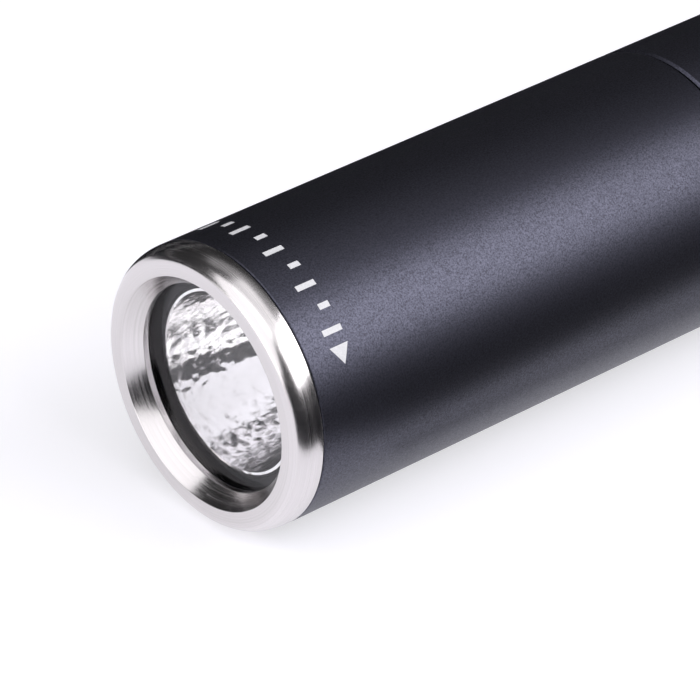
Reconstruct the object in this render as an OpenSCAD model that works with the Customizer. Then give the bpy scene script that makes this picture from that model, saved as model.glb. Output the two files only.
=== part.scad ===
// Slim two-cell penlight with a turned steel bezel, lying on its side.
// Each module is drawn upright: z runs from the bezel seam to the tail, and lay() turns z to +X.
// Along local x the torch points to the floor, so the clip is turned to where it meets the floor.

/* [Cells] */
// Diameter of one cell
cell_d = 10.5; // [10:0.1:11]
// Length of one cell with its front button
cell_len = 44.5; // [40:0.5:50]
// Number of cells in a row
cell_count = 2; // [2:1:3]
// Diameter of the front button of a cell
cell_nub_d = 3.8; // [3:0.1:4.5]
// Height of the front button of a cell
cell_nub_h = 0.9; // [0.6:0.1:1.2]
// Diameter of the bare base of a cell
cell_base_d = 8.4; // [6:0.2:9.4]
// Depth of the bare base in the wrap of a cell
cell_base_t = 0.3; // [0.2:0.05:0.6]
// Rounding of a cell's two ends
cell_edge_r = 0.45; // [0.3:0.05:0.6]

/* [Battery tube] */
// Wall of the tube where it is threaded
neck_wall = 1; // [0.8:0.05:1.4]
// Length of the front thread, which the head turns on
front_neck_len = 6.5; // [5:0.5:9]
// Length of the rear thread, which the tail cap turns on
rear_neck_len = 6.5; // [5:0.5:9]
// How far the front cell stands out of the front thread
cell_proud = 0.3; // [0.2:0.05:0.8]
// How far the tube runs past the last cell
tube_past = 0.6; // [0.3:0.1:1.2]
// Step from the rear thread to the seat of the clip's ring
clip_seat_step = 0.15; // [0.1:0.05:0.25]
// Bevel at the front edge of the tube
tube_bevel = 0.2; // [0.15:0.05:0.5]
// Number of grip rings turned in the tube
grip_count = 9; // [0:1:10]
// Distance from one grip ring to the next
grip_pitch = 2.4; // [2:0.1:3]
// Width of one grip ring
grip_w = 1.1; // [0.6:0.1:1.4]
// Depth of one grip ring
grip_deep = 0.3; // [0.15:0.05:0.4]
// Distance from the tube's front edge to the first grip ring
grip_from = 14; // [10:1:16]

/* [Head] */
// Wall of the head outside its thread
head_wall = 0.8; // [0.6:0.05:1.2]
// Bevel at the rear edge of the head
head_bevel = 0.4; // [0.25:0.05:0.6]
// Bevel at the front edge of the head
head_front_bevel = 0.1; // [0.05:0.01:0.2]
// Thickness of the rib that the heat sink rests on
rib_t = 1.2; // [0.8:0.1:2]
// Width of that rib, measured inwards
rib_w = 0.55; // [0.4:0.05:0.8]

/* [Bezel] */
// How far the bezel stands in front of the seam
bezel_front = 1.48; // [1.2:0.02:2]
// Straight band of the bezel beside the seam
bezel_band = 0.2; // [0.1:0.02:0.35]
// Bevel at the bezel's rear edge
bezel_bevel = 0.08; // [0.05:0.01:0.15]
// Radial run of the rounded shoulder
shoulder_w = 0.7; // [0.5:0.05:0.9]
// Radial width of the flat front face
face_w = 0.6; // [0.4:0.05:0.8]
// Radial width of the inner cone
cone_w = 0.65; // [0.5:0.05:0.75]
// Axial depth of the inner cone
cone_deep = 0.88; // [0.6:0.02:1]
// Rounding where the front face meets the inner cone
cone_edge_r = 0.1; // [0.05:0.01:0.15]
// Thickness of the lip that holds the lens
lip_t = 0.34; // [0.25:0.02:0.5]
// Wall of the bezel's threaded skirt
skirt_wall = 0.5; // [0.4:0.05:0.6]
// Length of the threaded skirt behind the seam
skirt_len = 4; // [3:0.25:5.5]

/* [Lens and gasket] */
// Thickness of the lens
lens_t = 1; // [0.8:0.1:1.5]
// Bevel at the edge of the lens
lens_bevel = 0.12; // [0.08:0.01:0.2]
// Thickness of the gasket
gasket_t = 0.55; // [0.4:0.05:0.8]
// How far the gasket shows inside the bezel's lip
gasket_show = 0.48; // [0.3:0.02:0.6]
// Width of the low outer step of the gasket
gasket_step_w = 0.4; // [0.25:0.05:0.5]
// Depth of that step
gasket_step_deep = 0.22; // [0.1:0.02:0.3]

/* [Reflector] */
// Focal length of the reflector's bowl
focal = 0.6; // [0.5:0.02:0.75]
// Diameter of the hole for the lamp
lamp_hole_d = 4.4; // [4.2:0.05:4.8]
// Thickness of the reflector's front rim
rim_wall = 0.16; // [0.12:0.02:0.25]
// Length of the straight hole behind the bowl
lamp_hole_len = 0.3; // [0.2:0.05:0.6]
// Thickness of the reflector's flange
flange_t = 1.4; // [1:0.1:2.2]
// How much slimmer the reflector is behind its flange
reflector_relief = 0.35; // [0.2:0.05:0.5]

/* [Light engine] */
// Side of the square lamp package
lamp_side = 3.45; // [3.2:0.05:3.6]
// Height of the lamp package
lamp_h = 0.7; // [0.5:0.05:0.9]
// Diameter of the lamp's clear dome
dome_d = 2.7; // [2.4:0.05:2.9]
// Thickness of the centring ring
centring_t = 1.3; // [1.1:0.05:1.8]
// Diameter of the centring ring
centring_d = 9.6; // [8:0.2:10.6]
// Height of the centring ring's collar in the lamp hole
collar_h = 0.4; // [0.2:0.05:0.6]
// Thickness of the lamp's board
lamp_board_t = 1; // [0.8:0.1:1.6]
// Length of the brass heat sink
sink_len = 8; // [7:0.5:10]
// Thickness of its front floor
sink_floor = 2; // [1.5:0.25:2.5]
// Wall of the heat sink beside its hollow
sink_wall = 1; // [0.8:0.05:1.2]
// Wall of the heat sink beside the driver
sink_rear_wall = 0.6; // [0.5:0.05:0.7]
// Thickness of the driver board
driver_t = 1; // [0.8:0.1:1.6]
// Thickness of the ring that holds the driver
driver_ring_t = 1.4; // [1:0.1:1.8]
// Radial width of that ring
driver_ring_w = 1.5; // [1:0.1:2]
// How deep that ring lies below the heat sink's rear edge
driver_ring_deep = 0.3; // [0.1:0.05:0.5]
// Height of the parts on the driver board
chip_h = 1.2; // [0.8:0.1:1.8]
// Diameter of one lamp lead
lead_d = 0.8; // [0.6:0.05:1]
// Distance of each lamp lead from the axis
lead_at = 3.3; // [3:0.1:3.8]
// Height of the solder on each lamp lead
solder_h = 0.4; // [0.2:0.05:0.6]

/* [Contacts] */
// Length of the front contact spring
front_spring_len = 4.1; // [3.8:0.1:5]
// Diameter of the front contact spring
front_spring_d = 4; // [3.4:0.1:5]
// Thickness of the front contact's disc
front_pad_t = 0.6; // [0.4:0.05:0.9]
// Diameter of the front contact's disc
front_pad_d = 4.6; // [4:0.1:5.6]
// Length of the front contact's stem
front_stem_len = 1.5; // [1:0.1:2.2]
// Length of the tail contact spring
tail_spring_len = 4.1; // [3.8:0.1:5]
// Diameter of the tail contact spring at the cell
tail_spring_front_d = 5; // [4:0.1:6]
// Diameter of the tail contact spring at its plate
tail_spring_rear_d = 6.8; // [6:0.1:7.2]
// Thickness of the tail contact plate
tail_plate_t = 0.35; // [0.3:0.05:0.5]
// Wire of both contact springs
contact_wire = 0.5; // [0.4:0.02:0.56]
// Number of free curls of both contact springs
contact_curls = 3.5; // [2.5:0.5:3.5]

/* [Clip] */
// Width of the clip
clip_w = 5; // [4:0.25:6]
// Thickness of the clip's steel
clip_t = 0.8; // [0.6:0.05:1]
// Free height between the tube and the clip's arm
clip_gap = 2; // [1.6:0.1:2.6]
// Length of the clip's arm
clip_len = 38; // [30:1:42]
// Length of the ring that holds the clip
clip_ring_len = 4.15; // [3.5:0.05:5.5]
// Thickness of the clip's upright bend
clip_bend_t = 1.2; // [0.8:0.1:2]
// Length of the clip's bent tip
clip_tip_len = 8; // [6:0.5:10]
// Rise of the flared end of the tip
clip_flare = 1.2; // [0.8:0.1:1.8]
// Room left between the clip's tip and the tube
clip_touch = 0.12; // [0.05:0.01:0.3]

/* [Tail cap] */
// Bevel at the front edge of the tail cap
cap_bevel = 0.45; // [0.3:0.05:0.7]
// Room behind the tube's end inside the tail cap
cap_room = 0.6; // [0.4:0.1:1.2]
// Width of the shoulder that the switch board rests on
board_shoulder_w = 0.65; // [0.5:0.05:0.8]
// Thickness of the cap's rear wall
cap_wall = 1.5; // [1.2:0.1:2]
// Height of the rim round the button
cap_rim_h = 1.6; // [1.4:0.1:2.4]
// Wall of the rim round the button
cap_rim_wall = 2; // [1.6:0.1:2.4]
// Rounding of the cap's rear edge
cap_edge_r = 0.9; // [0.5:0.1:1.2]
// Number of finger flutes round the cap
flute_count = 16; // [8:1:20]
// Width of one flute across its cut
flute_w = 1.5; // [1:0.1:1.7]
// Depth of one flute
flute_deep = 0.35; // [0.2:0.05:0.45]
// Length of the fluted band
flute_len = 13; // [9:0.5:15]
// Distance from the cap's front edge to the flutes
flute_from = 3; // [2:0.25:4]

/* [Switch] */
// Thickness of the ring that holds the switch board
switch_ring_t = 2.4; // [2:0.1:3]
// Radial width of that ring
switch_ring_w = 1.7; // [1.4:0.05:1.9]
// Width of its two spanner notches
notch_w = 1.2; // [0.8:0.1:1.6]
// Depth of its two spanner notches
notch_deep = 0.8; // [0.5:0.1:1.2]
// Thickness of the switch board
switch_board_t = 1.2; // [0.8:0.1:1.6]
// Side of the switch housing
housing_side = 6.8; // [6:0.1:7.2]
// Height of the switch housing
housing_h = 5.5; // [5:0.1:6.5]
// Wall of the switch housing at its two ends
housing_wall = 0.9; // [0.7:0.05:1.1]
// Diameter of the hollow in the switch housing
housing_bore_d = 5; // [4.6:0.1:5.4]
// Diameter of the switch plunger
plunger_d = 3.2; // [2.8:0.1:3.6]
// Diameter of the plunger's foot
plunger_foot_d = 4.4; // [4.2:0.05:4.5]
// Thickness of the plunger's foot
plunger_foot_t = 0.7; // [0.5:0.05:0.9]
// How far the plunger stands out of the housing
plunger_out = 2.2; // [1.8:0.1:2.8]
// Wire of the switch spring
switch_wire = 0.34; // [0.28:0.02:0.36]
// Number of free curls of the switch spring
switch_curls = 2.5; // [1.5:0.5:2.5]
// Diameter of the switch spring
switch_spring_d = 3.9; // [3.4:0.05:4.2]

/* [Button] */
// Travel of the button from rest to its stop
button_travel = 1.2; // [0.8:0.1:1.3]
// Diameter of the button
button_d = 8.4; // [7.6:0.1:8.8]
// How far the button lies below the rim
button_deep = 0.4; // [0.2:0.05:0.6]
// Thickness of the button's inner flange
button_flange_t = 0.8; // [0.6:0.05:1.1]
// Width of the button's inner flange
button_flange_w = 0.85; // [0.6:0.05:0.95]
// Rounding of the button's outer edge
button_edge_r = 0.5; // [0.3:0.05:0.7]
// Thickness of the seal under the button's flange
seal_t = 0.3; // [0.2:0.05:0.5]

/* [Seals and marks] */
// Thickness of the two sealing rings on the tube
seal_wire = 0.6; // [0.5:0.02:0.7]
// Number of white marks on the head
mark_count = 11; // [5:1:12]
// Angle from one mark to the next
mark_step = 9.7; // [8:0.1:10]
// Angle of the middle mark, counted from the floor side
mark_middle = 190.7; // [170:0.5:210]
// Height of a long mark along the body
mark_h = 1.12; // [0.8:0.02:1.4]
// Height of a short mark along the body
mark_short_h = 0.62; // [0.4:0.02:0.8]
// Width of one mark
mark_w = 0.3; // [0.2:0.02:0.45]
// Width of the arrow at each end of the row
arrow_w = 0.95; // [0.6:0.05:1.1]
// Distance from the seam to the marks
mark_from = 1.45; // [1:0.05:3]
// Depth of the marks in the head
mark_deep = 0.04; // [0.03:0.005:0.08]
// How far the marks stand proud of the head
mark_proud = 0.015; // [0.01:0.005:0.03]

/* [Fits] */
// Radial room of a cell in the tube
cell_play = 0.15; // [0.1:0.01:0.25]
// Radial room of a thread
thread_fit = 0.05; // [0.03:0.005:0.08]
// Radial room of a part that drops into its seat
seat_fit = 0.05; // [0.03:0.005:0.08]
// Radial room of the moving button and plunger
slide_fit = 0.07; // [0.04:0.005:0.09]
// Room left between two parts that screw together
seam_gap = 0.06; // [0.04:0.01:0.12]
// Room left between a contact and its cell
contact_gap = 0.05; // [0.03:0.01:0.1]

/* [Hidden] */
$fn = 96;

// One overrun for every cut
over = 1;
// Corners of one curl of a spring and sides of its wire
curl_rings = 8;
wire_sides = 6;
// Steps of the bowl's curve and of a rounded edge
bowl_steps = 18;
edge_steps = 8;

// Radii that follow from the cell outwards
cell_r = cell_d / 2;
tube_bore_r = cell_r + cell_play;
neck_r = tube_bore_r + neck_wall;
thread_bore_r = neck_r + thread_fit;
body_r = thread_bore_r + head_wall;
clip_seat_r = neck_r + clip_seat_step;

// Radii of the front, from the body inwards
crown_r = body_r - shoulder_w;
ridge_r = crown_r - face_w;
mouth_r = ridge_r - cone_w;
skirt_bore_r = neck_r - skirt_wall;
lens_r = skirt_bore_r - seat_fit;
gasket_bore_r = mouth_r - gasket_show;
rim_r = gasket_bore_r - 2 * seat_fit;
bowl_r = rim_r - rim_wall;
lamp_hole_r = lamp_hole_d / 2;
sink_r = skirt_bore_r;
sink_bore_r = sink_r - sink_wall;
driver_bore_r = sink_r - sink_rear_wall;
driver_r = driver_bore_r - seat_fit;
head_bore_r = sink_r + seat_fit;
rib_bore_r = head_bore_r - rib_w;

// Places along the axis, from the seam to the tail
lens_z = cone_deep + lip_t - bezel_front;
lens_rear = lens_z + lens_t;
rim_z = lens_rear + seam_gap;
flange_z = lens_rear + gasket_t;
bowl_len = (pow(bowl_r, 2) - pow(lamp_hole_r, 2)) / (4 * focal);
bowl_start = pow(lamp_hole_r, 2) / (4 * focal);
bowl_rear = rim_z + bowl_len;
reflector_rear = bowl_rear + lamp_hole_len;
lamp_board_z = reflector_rear + centring_t;
sink_z = lamp_board_z + lamp_board_t;
sink_rear = sink_z + sink_len;
driver_ring_rear = sink_rear - driver_ring_deep;
driver_rear = driver_ring_rear - driver_ring_t;
driver_z = driver_rear - driver_t;
rib_rear = sink_rear + rib_t;
nub_z = driver_rear + front_spring_len + front_pad_t;
front_neck_z = nub_z + cell_nub_h + cell_proud;
tube_z = front_neck_z + front_neck_len;
head_rear = tube_z - seam_gap;
cells_rear = nub_z + cell_count * cell_len;
tube_rear = cells_rear + tube_past;
clip_ring_rear = tube_rear - rear_neck_len;
tube_shoulder = clip_ring_rear - clip_ring_len;
cap_z = clip_ring_rear + seam_gap;
cap_thread_rear = tube_rear + cap_room;
tail_plate_z = cells_rear + contact_gap + tail_spring_len;
switch_board_z = tail_plate_z + tail_plate_t;
switch_ring_z = switch_board_z - switch_ring_t;
board_rear = switch_board_z + switch_board_t;
housing_rear = board_rear + housing_h;
button_flange_z = housing_rear + plunger_out;
seal_z = button_flange_z + button_flange_t;
cap_wall_z = seal_z + seal_t;
cap_wall_rear = cap_wall_z + cap_wall;
cap_rear = cap_wall_rear + cap_rim_h;
button_rear = cap_rear - button_deep;

// Radii of the tail
board_bore_r = neck_r - skirt_wall;
switch_board_r = board_bore_r - seat_fit;
chamber_r = board_bore_r - board_shoulder_w;
button_r = button_d / 2;
button_hole_r = button_r + slide_fit;
rim_bore_r = body_r - cap_rim_wall;
flange_r = button_r + button_flange_w;

// The torch lies on its side with the middle of the head's barrel at the origin
datum = head_rear / 2;
barrel_len = head_rear - head_bevel - head_front_bevel;

// Where the clip points so that its edge and the body meet the floor together
clip_in = body_r + clip_gap;
clip_out = clip_in + clip_t;
clip_corner = sqrt(pow(clip_out, 2) + pow(clip_w / 2, 2));
clip_turn = acos(body_r / clip_corner) + atan(clip_w / (2 * clip_out));
clip_bend_z = clip_ring_rear - clip_bend_t;
clip_low = body_r + clip_touch;

// Thread lead and travels, printed for the record
thread_lead = 1;
front_travel = front_neck_len + thread_lead;
rear_travel = rear_neck_len + tube_past + thread_lead;

// Wire centres of a conical spring, from z0 to z1
function coil_turn(i, curls) = 360 * i / curl_rings;
function coil_count(curls) = floor(curls * curl_rings);
function coil_r(i, n, r0, r1) = r0 + (r1 - r0) * i / n;
function coil_z(i, n, z0, z1, wire) = z0 + wire / 2 + (z1 - z0 - wire) * i / n;
function coil_point(i, n, curls, r0, r1, z0, z1, wire) =
    let (a = coil_turn(i, curls))
    let (r = coil_r(i, n, r0 - wire / 2, r1 - wire / 2))
    [r * cos(a), r * sin(a), coil_z(i, n, z0, z1, wire)];
function wire_point(c, a, wire, s) =
    let (b = 360 * s / wire_sides)
    [
        c[0] + wire / 2 * cos(b) * cos(a),
        c[1] + wire / 2 * cos(b) * sin(a),
        c[2] + wire / 2 * sin(b)
    ];

// Least distance between the wires of neighbouring curls, less the wire itself
function coil_gap(curls, r0, r1, z0, z1, wire) =
    let (n = coil_count(curls))
    min([
        for (i = [0 : n - curl_rings])
        norm(
            coil_point(i, n, curls, r0, r1, z0, z1, wire)
            - coil_point(i + curl_rings, n, curls, r0, r1, z0, z1, wire)
        ) - wire
    ]);

// One unbroken wire of a spring
module coil(curls, r0, r1, z0, z1, wire) {
    n = coil_count(curls);
    points = [
        for (i = [0 : n])
        for (s = [0 : wire_sides - 1])
        wire_point(
            coil_point(i, n, curls, r0, r1, z0, z1, wire),
            coil_turn(i, curls), wire, s
        )
    ];
    sides = [
        for (i = [0 : n - 1])
        for (s = [0 : wire_sides - 1])
        for (half = [0 : 1])
        let (a = i * wire_sides + s)
        let (b = i * wire_sides + (s + 1) % wire_sides)
        half == 0 ? [a, a + wire_sides, b] : [b, a + wire_sides, b + wire_sides]
    ];
    first_end = [for (s = [1 : wire_sides - 2]) [0, s, s + 1]];
    last = n * wire_sides;
    last_end = [for (s = [1 : wire_sides - 2]) [last, last + s + 1, last + s]];
    polyhedron(points = points, faces = concat(sides, first_end, last_end), convexity = edge_steps);
}

// Turns the upright torch down so that its axis runs along X
module lay() {
    translate([-datum, 0, 0])
        rotate([0, 90, 0])
            children();
}

// A plain ring or, with no bore, a disc
module tube_of(z0, z1, outer, bore) {
    translate([0, 0, z0])
        difference() {
            cylinder(r = outer, h = z1 - z0);
            if (bore > 0)
                translate([0, 0, -over])
                    cylinder(r = bore, h = z1 - z0 + 2 * over);
        }
}

// A ring of round wire
module wire_ring(z, outer, wire) {
    translate([0, 0, z])
        rotate_extrude()
            translate([outer - wire / 2, 0])
                circle(d = wire, $fn = 32);
}

module bezel() {
    shoulder = [
        for (i = [0 : edge_steps])
        let (a = 90 * i / edge_steps)
        [
            crown_r + shoulder_w * cos(a),
            -bezel_band - (bezel_front - bezel_band) * sin(a)
        ]
    ];
    profile = concat(
        [
            [neck_r, skirt_len],
            [neck_r, 0],
            [body_r - bezel_bevel, 0],
            [body_r, -bezel_bevel]
        ],
        shoulder,
        [
            [ridge_r + cone_edge_r, -bezel_front],
            [ridge_r, cone_edge_r - bezel_front],
            [mouth_r, cone_deep - bezel_front],
            [mouth_r, lens_z],
            [skirt_bore_r, lens_z],
            [skirt_bore_r, skirt_len]
        ]
    );
    color("lightsteelblue")
        lay()
            rotate_extrude()
                polygon(profile);
}

module lens() {
    profile = [
        [0, lens_z],
        [lens_r - lens_bevel, lens_z],
        [lens_r, lens_z + lens_bevel],
        [lens_r, lens_rear - lens_bevel],
        [lens_r - lens_bevel, lens_rear],
        [0, lens_rear]
    ];
    color("lightcyan", 0.5)
        lay()
            rotate_extrude()
                polygon(profile);
}

module lens_gasket() {
    profile = [
        [gasket_bore_r, lens_rear],
        [lens_r - gasket_step_w, lens_rear],
        [lens_r - gasket_step_w, lens_rear + gasket_step_deep],
        [lens_r, lens_rear + gasket_step_deep],
        [lens_r, flange_z],
        [gasket_bore_r, flange_z]
    ];
    color("black")
        lay()
            rotate_extrude()
                polygon(profile);
}

module reflector() {
    bowl = [
        for (i = [0 : bowl_steps])
        let (r = bowl_r + (lamp_hole_r - bowl_r) * i / bowl_steps)
        [r, rim_z + bowl_start + bowl_len - pow(r, 2) / (4 * focal)]
    ];
    profile = concat(
        [
            [rim_r, flange_z],
            [rim_r, rim_z]
        ],
        bowl,
        [
            [lamp_hole_r, reflector_rear],
            [lens_r - reflector_relief, reflector_rear],
            [lens_r - reflector_relief, flange_z + flange_t],
            [lens_r, flange_z + flange_t],
            [lens_r, flange_z]
        ]
    );
    color("silver")
        lay()
            rotate_extrude()
                polygon(profile);
}

module centring_ring() {
    base_z = lamp_board_z - centring_t;
    color("white")
        lay()
            difference() {
                union() {
                    tube_of(base_z, lamp_board_z, centring_d / 2, 0);
                    tube_of(base_z - collar_h, base_z + over / 2, lamp_hole_r - seat_fit, 0);
                }
                tube_of(base_z - collar_h - over, lamp_board_z + over, dome_d / 2 + seat_fit, 0);
                translate([0, 0, lamp_board_z - (lamp_h - over) / 2 - seat_fit])
                    cube([lamp_side + 2 * seat_fit, lamp_side + 2 * seat_fit, lamp_h + over], center = true);
                lead_places(lamp_board_z - solder_h - seat_fit, lamp_board_z + over, lead_d);
            }
}

module lamp_package() {
    color("khaki")
        lay()
            translate([0, 0, lamp_board_z - lamp_h / 2])
                cube([lamp_side, lamp_side, lamp_h], center = true);
}

module lamp_dome() {
    color("lightyellow")
        lay()
            intersection() {
                translate([0, 0, lamp_board_z - lamp_h])
                    sphere(d = dome_d);
                tube_of(lamp_board_z - lamp_h - dome_d, lamp_board_z - lamp_h, dome_d, 0);
            }
}

// Round bars where the two lamp leads run
module lead_places(z0, z1, wire_r) {
    for (side = [-1, 1])
        translate([0, side * lead_at, z0])
            cylinder(r = wire_r, h = z1 - z0, $fn = 32);
}

module lamp_board() {
    color("ivory")
        lay()
            difference() {
                tube_of(lamp_board_z, sink_z, head_bore_r - seat_fit, 0);
                lead_places(lamp_board_z - over, sink_z + over, lead_d / 2 + seat_fit);
            }
}

module lamp_leads() {
    color("firebrick")
        lay() {
            lead_places(lamp_board_z, driver_z, lead_d / 2);
            lead_places(lamp_board_z - solder_h, lamp_board_z, lead_d - seat_fit);
        }
}

module heat_sink() {
    color("goldenrod")
        lay()
            difference() {
                tube_of(sink_z, sink_rear, sink_r, 0);
                tube_of(sink_z + sink_floor, sink_rear + over, sink_bore_r, 0);
                tube_of(driver_z, sink_rear + over, driver_bore_r, 0);
                lead_places(sink_z - over, sink_z + sink_floor + over, lead_d / 2 + seat_fit);
            }
}

module driver_board() {
    color("darkgreen")
        lay()
            tube_of(driver_z, driver_rear, driver_r, 0);
}

module driver_chips() {
    color("dimgray")
        lay()
            for (turn = [0, 180])
                rotate([0, 0, turn])
                    translate([driver_r / 3, 0, driver_z - chip_h / 2])
                        cube([driver_r / 3, driver_r / 2, chip_h], center = true);
}

module driver_ring() {
    color("peru")
        lay()
            spanner_ring(driver_rear, driver_ring_rear, driver_r, driver_r - driver_ring_w, 1);
}

// A ring with two notches in one face for a spanner
module spanner_ring(z0, z1, outer, bore, face) {
    notch_z = face > 0 ? z1 : z0;
    difference() {
        tube_of(z0, z1, outer, bore);
        translate([0, 0, notch_z])
            cube([2 * (outer + over), notch_w, 2 * notch_deep], center = true);
    }
}

module head_shell() {
    profile = [
        [thread_bore_r, seam_gap],
        [body_r - head_front_bevel, seam_gap],
        [body_r, seam_gap + head_front_bevel],
        [body_r, head_rear - head_bevel],
        [body_r - head_bevel, head_rear],
        [thread_bore_r, head_rear],
        [thread_bore_r, rib_rear],
        [rib_bore_r, rib_rear],
        [rib_bore_r, sink_rear],
        [head_bore_r, sink_rear],
        [head_bore_r, skirt_len + seam_gap],
        [thread_bore_r, skirt_len + seam_gap]
    ];
    color("dimgray")
        lay()
            difference() {
                rotate_extrude()
                    polygon(profile);
                index_prisms();
            }
}

// Flat outlines of the marks, stood out from the axis through the wall
module index_prisms() {
    for (i = [0 : mark_count - 1]) {
        at_end = i == 0 || i == mark_count - 1;
        long = at_end || i % 2 == 1;
        tall = long ? mark_h : mark_short_h;
        wide = at_end ? arrow_w : mark_w;
        tip = i == 0 ? -1 : 1;
        rotate([0, 0, mark_middle + (i - (mark_count - 1) / 2) * mark_step])
            translate([body_r - mark_deep, 0, mark_from + mark_h])
                rotate([0, 90, 0])
                    linear_extrude(height = mark_deep + mark_proud)
                        mark_outline(tall, wide, at_end, tip);
    }
}

module mark_outline(tall, wide, at_end, tip) {
    if (at_end)
        polygon([[0, -tip * wide / 2], [tall / 2, tip * wide / 2], [tall, -tip * wide / 2]]);
    else
        translate([0, -wide / 2])
            square([tall, wide]);
}

module index_marks() {
    color("white")
        lay()
            intersection() {
                index_prisms();
                tube_of(0, mark_from + mark_h + over, body_r + mark_proud, body_r - head_wall / 2);
            }
}

module front_spring() {
    color("gold")
        lay()
            coil(
                contact_curls, front_spring_d / 2, front_spring_d / 2,
                driver_rear, driver_rear + front_spring_len, contact_wire
            );
}

module front_contact() {
    pad_z = driver_rear + front_spring_len;
    stem_r = front_spring_d / 2 - contact_wire - 2 * seat_fit;
    color("orange")
        lay() {
            tube_of(pad_z, nub_z - contact_gap, front_pad_d / 2, 0);
            tube_of(pad_z - front_stem_len, pad_z, stem_r, 0);
        }
}

module battery_tube() {
    grip_z = tube_z + grip_from;
    front_profile = [
        [tube_bore_r, front_neck_z],
        [neck_r, front_neck_z],
        [neck_r, tube_z],
        [body_r - tube_bevel, tube_z],
        [body_r, tube_z + tube_bevel]
    ];
    grips = [
        for (i = [0 : 1 : grip_count - 1])
        let (z = grip_z + i * grip_pitch)
        each [
            [body_r, z],
            [body_r - grip_deep, z + grip_deep],
            [body_r - grip_deep, z + grip_w - grip_deep],
            [body_r, z + grip_w]
        ]
    ];
    rear_profile = [
        [body_r, tube_shoulder],
        [clip_seat_r, tube_shoulder],
        [clip_seat_r, clip_ring_rear],
        [neck_r, clip_ring_rear],
        [neck_r, tube_rear],
        [tube_bore_r, tube_rear]
    ];
    color("slategray")
        lay()
            difference() {
                rotate_extrude()
                    polygon(concat(front_profile, grips, rear_profile));
                seal_groove(front_seal_z);
                seal_groove(rear_seal_z);
            }
}

// Both sealing rings lie one wire thickness from the end of their thread
front_seal_z = tube_z - 2 * seal_wire;
rear_seal_z = cap_z + 2 * seal_wire;

module seal_groove(z) {
    half = seal_wire / 2 + seat_fit;
    tube_of(z - half, z + half, neck_r + over / 2, neck_r - seal_wire);
}

module front_seal() {
    color("crimson")
        lay()
            wire_ring(front_seal_z, neck_r + thread_fit / 2, seal_wire);
}

module rear_seal() {
    color("crimson")
        lay()
            wire_ring(rear_seal_z, neck_r + thread_fit / 2, seal_wire);
}

// The wrapped can of one cell, without its bare metal ends
module cell(z) {
    can_z = z + cell_nub_h;
    rear = z + cell_len;
    difference() {
        rotate_extrude()
            polygon([
                [0, can_z],
                [cell_r - cell_edge_r, can_z],
                [cell_r, can_z + cell_edge_r],
                [cell_r, rear - cell_edge_r],
                [cell_r - cell_edge_r, rear],
                [0, rear]
            ]);
        tube_of(rear - cell_base_t, rear + over, cell_base_d / 2, 0);
    }
}

module front_cell() {
    color("teal")
        lay()
            cell(nub_z);
}

module rear_cell() {
    color("teal")
        lay()
            for (i = [1 : cell_count - 1])
                cell(nub_z + i * cell_len);
}

module cell_terminals() {
    color("silver")
        lay()
            for (i = [0 : cell_count - 1]) {
                z = nub_z + i * cell_len;
                tube_of(z, z + cell_nub_h, cell_nub_d / 2, 0);
                tube_of(z + cell_len - cell_base_t, z + cell_len, cell_base_d / 2 - seat_fit, 0);
            }
}

module clip_ring() {
    color("gray")
        lay() {
            tube_of(tube_shoulder + seam_gap, clip_ring_rear, body_r, clip_seat_r + seat_fit);
            rotate([0, 0, clip_turn])
                translate([body_r - head_wall / 2, -clip_w / 2, clip_bend_z])
                    cube([clip_out - body_r + head_wall / 2, clip_w, clip_bend_t]);
        }
}

module clip_arm() {
    tip_z = clip_bend_z - clip_len;
    tip_mid = tip_z + clip_tip_len / 3;
    tip_top = tip_z + clip_tip_len;
    side = [
        [clip_in, clip_bend_z],
        [clip_out, clip_bend_z],
        [clip_out, tip_top],
        [clip_low + clip_t, tip_mid],
        [clip_low + clip_t + clip_flare, tip_z],
        [clip_low + clip_flare, tip_z],
        [clip_low, tip_mid],
        [clip_in, tip_top + clip_t / 2]
    ];
    color("gray")
        lay()
            rotate([0, 0, clip_turn])
                intersection() {
                    rotate([90, 0, 0])
                        translate([0, 0, -clip_w / 2])
                            linear_extrude(height = clip_w)
                                polygon(side);
                    rotate([0, 90, 0])
                        linear_extrude(height = clip_out + over)
                            clip_plan(tip_z);
                }
}

// Plan of the clip's arm with its round end
module clip_plan(tip_z) {
    translate([-clip_bend_z, -clip_w / 2])
        square([clip_len - clip_w / 2, clip_w]);
    translate([-tip_z - clip_w / 2, 0])
        circle(d = clip_w);
}

module tail_spring() {
    color("gold")
        lay()
            coil(
                contact_curls, tail_spring_front_d / 2, tail_spring_rear_d / 2,
                cells_rear + contact_gap, tail_plate_z, contact_wire
            );
}

module tail_plate() {
    color("orange")
        lay()
            tube_of(tail_plate_z, switch_board_z, switch_board_r - switch_ring_w - seat_fit, 0);
}

module tail_cap() {
    edge = [
        for (i = [0 : edge_steps])
        let (a = 90 * i / edge_steps)
        [
            body_r - cap_edge_r + cap_edge_r * cos(a),
            cap_rear - cap_edge_r + cap_edge_r * sin(a)
        ]
    ];
    profile = concat(
        [
            [thread_bore_r, cap_z],
            [body_r - cap_bevel, cap_z],
            [body_r, cap_z + cap_bevel]
        ],
        edge,
        [
            [rim_bore_r, cap_rear],
            [rim_bore_r, cap_wall_rear],
            [button_hole_r, cap_wall_rear],
            [button_hole_r, cap_wall_z],
            [chamber_r, cap_wall_z],
            [chamber_r, board_rear],
            [board_bore_r, board_rear],
            [board_bore_r, cap_thread_rear],
            [thread_bore_r, cap_thread_rear]
        ]
    );
    color("dimgray")
        lay()
            difference() {
                rotate_extrude()
                    polygon(profile);
                for (i = [0 : flute_count - 1])
                    rotate([0, 0, 360 * i / flute_count])
                        flute();
            }
}

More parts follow.
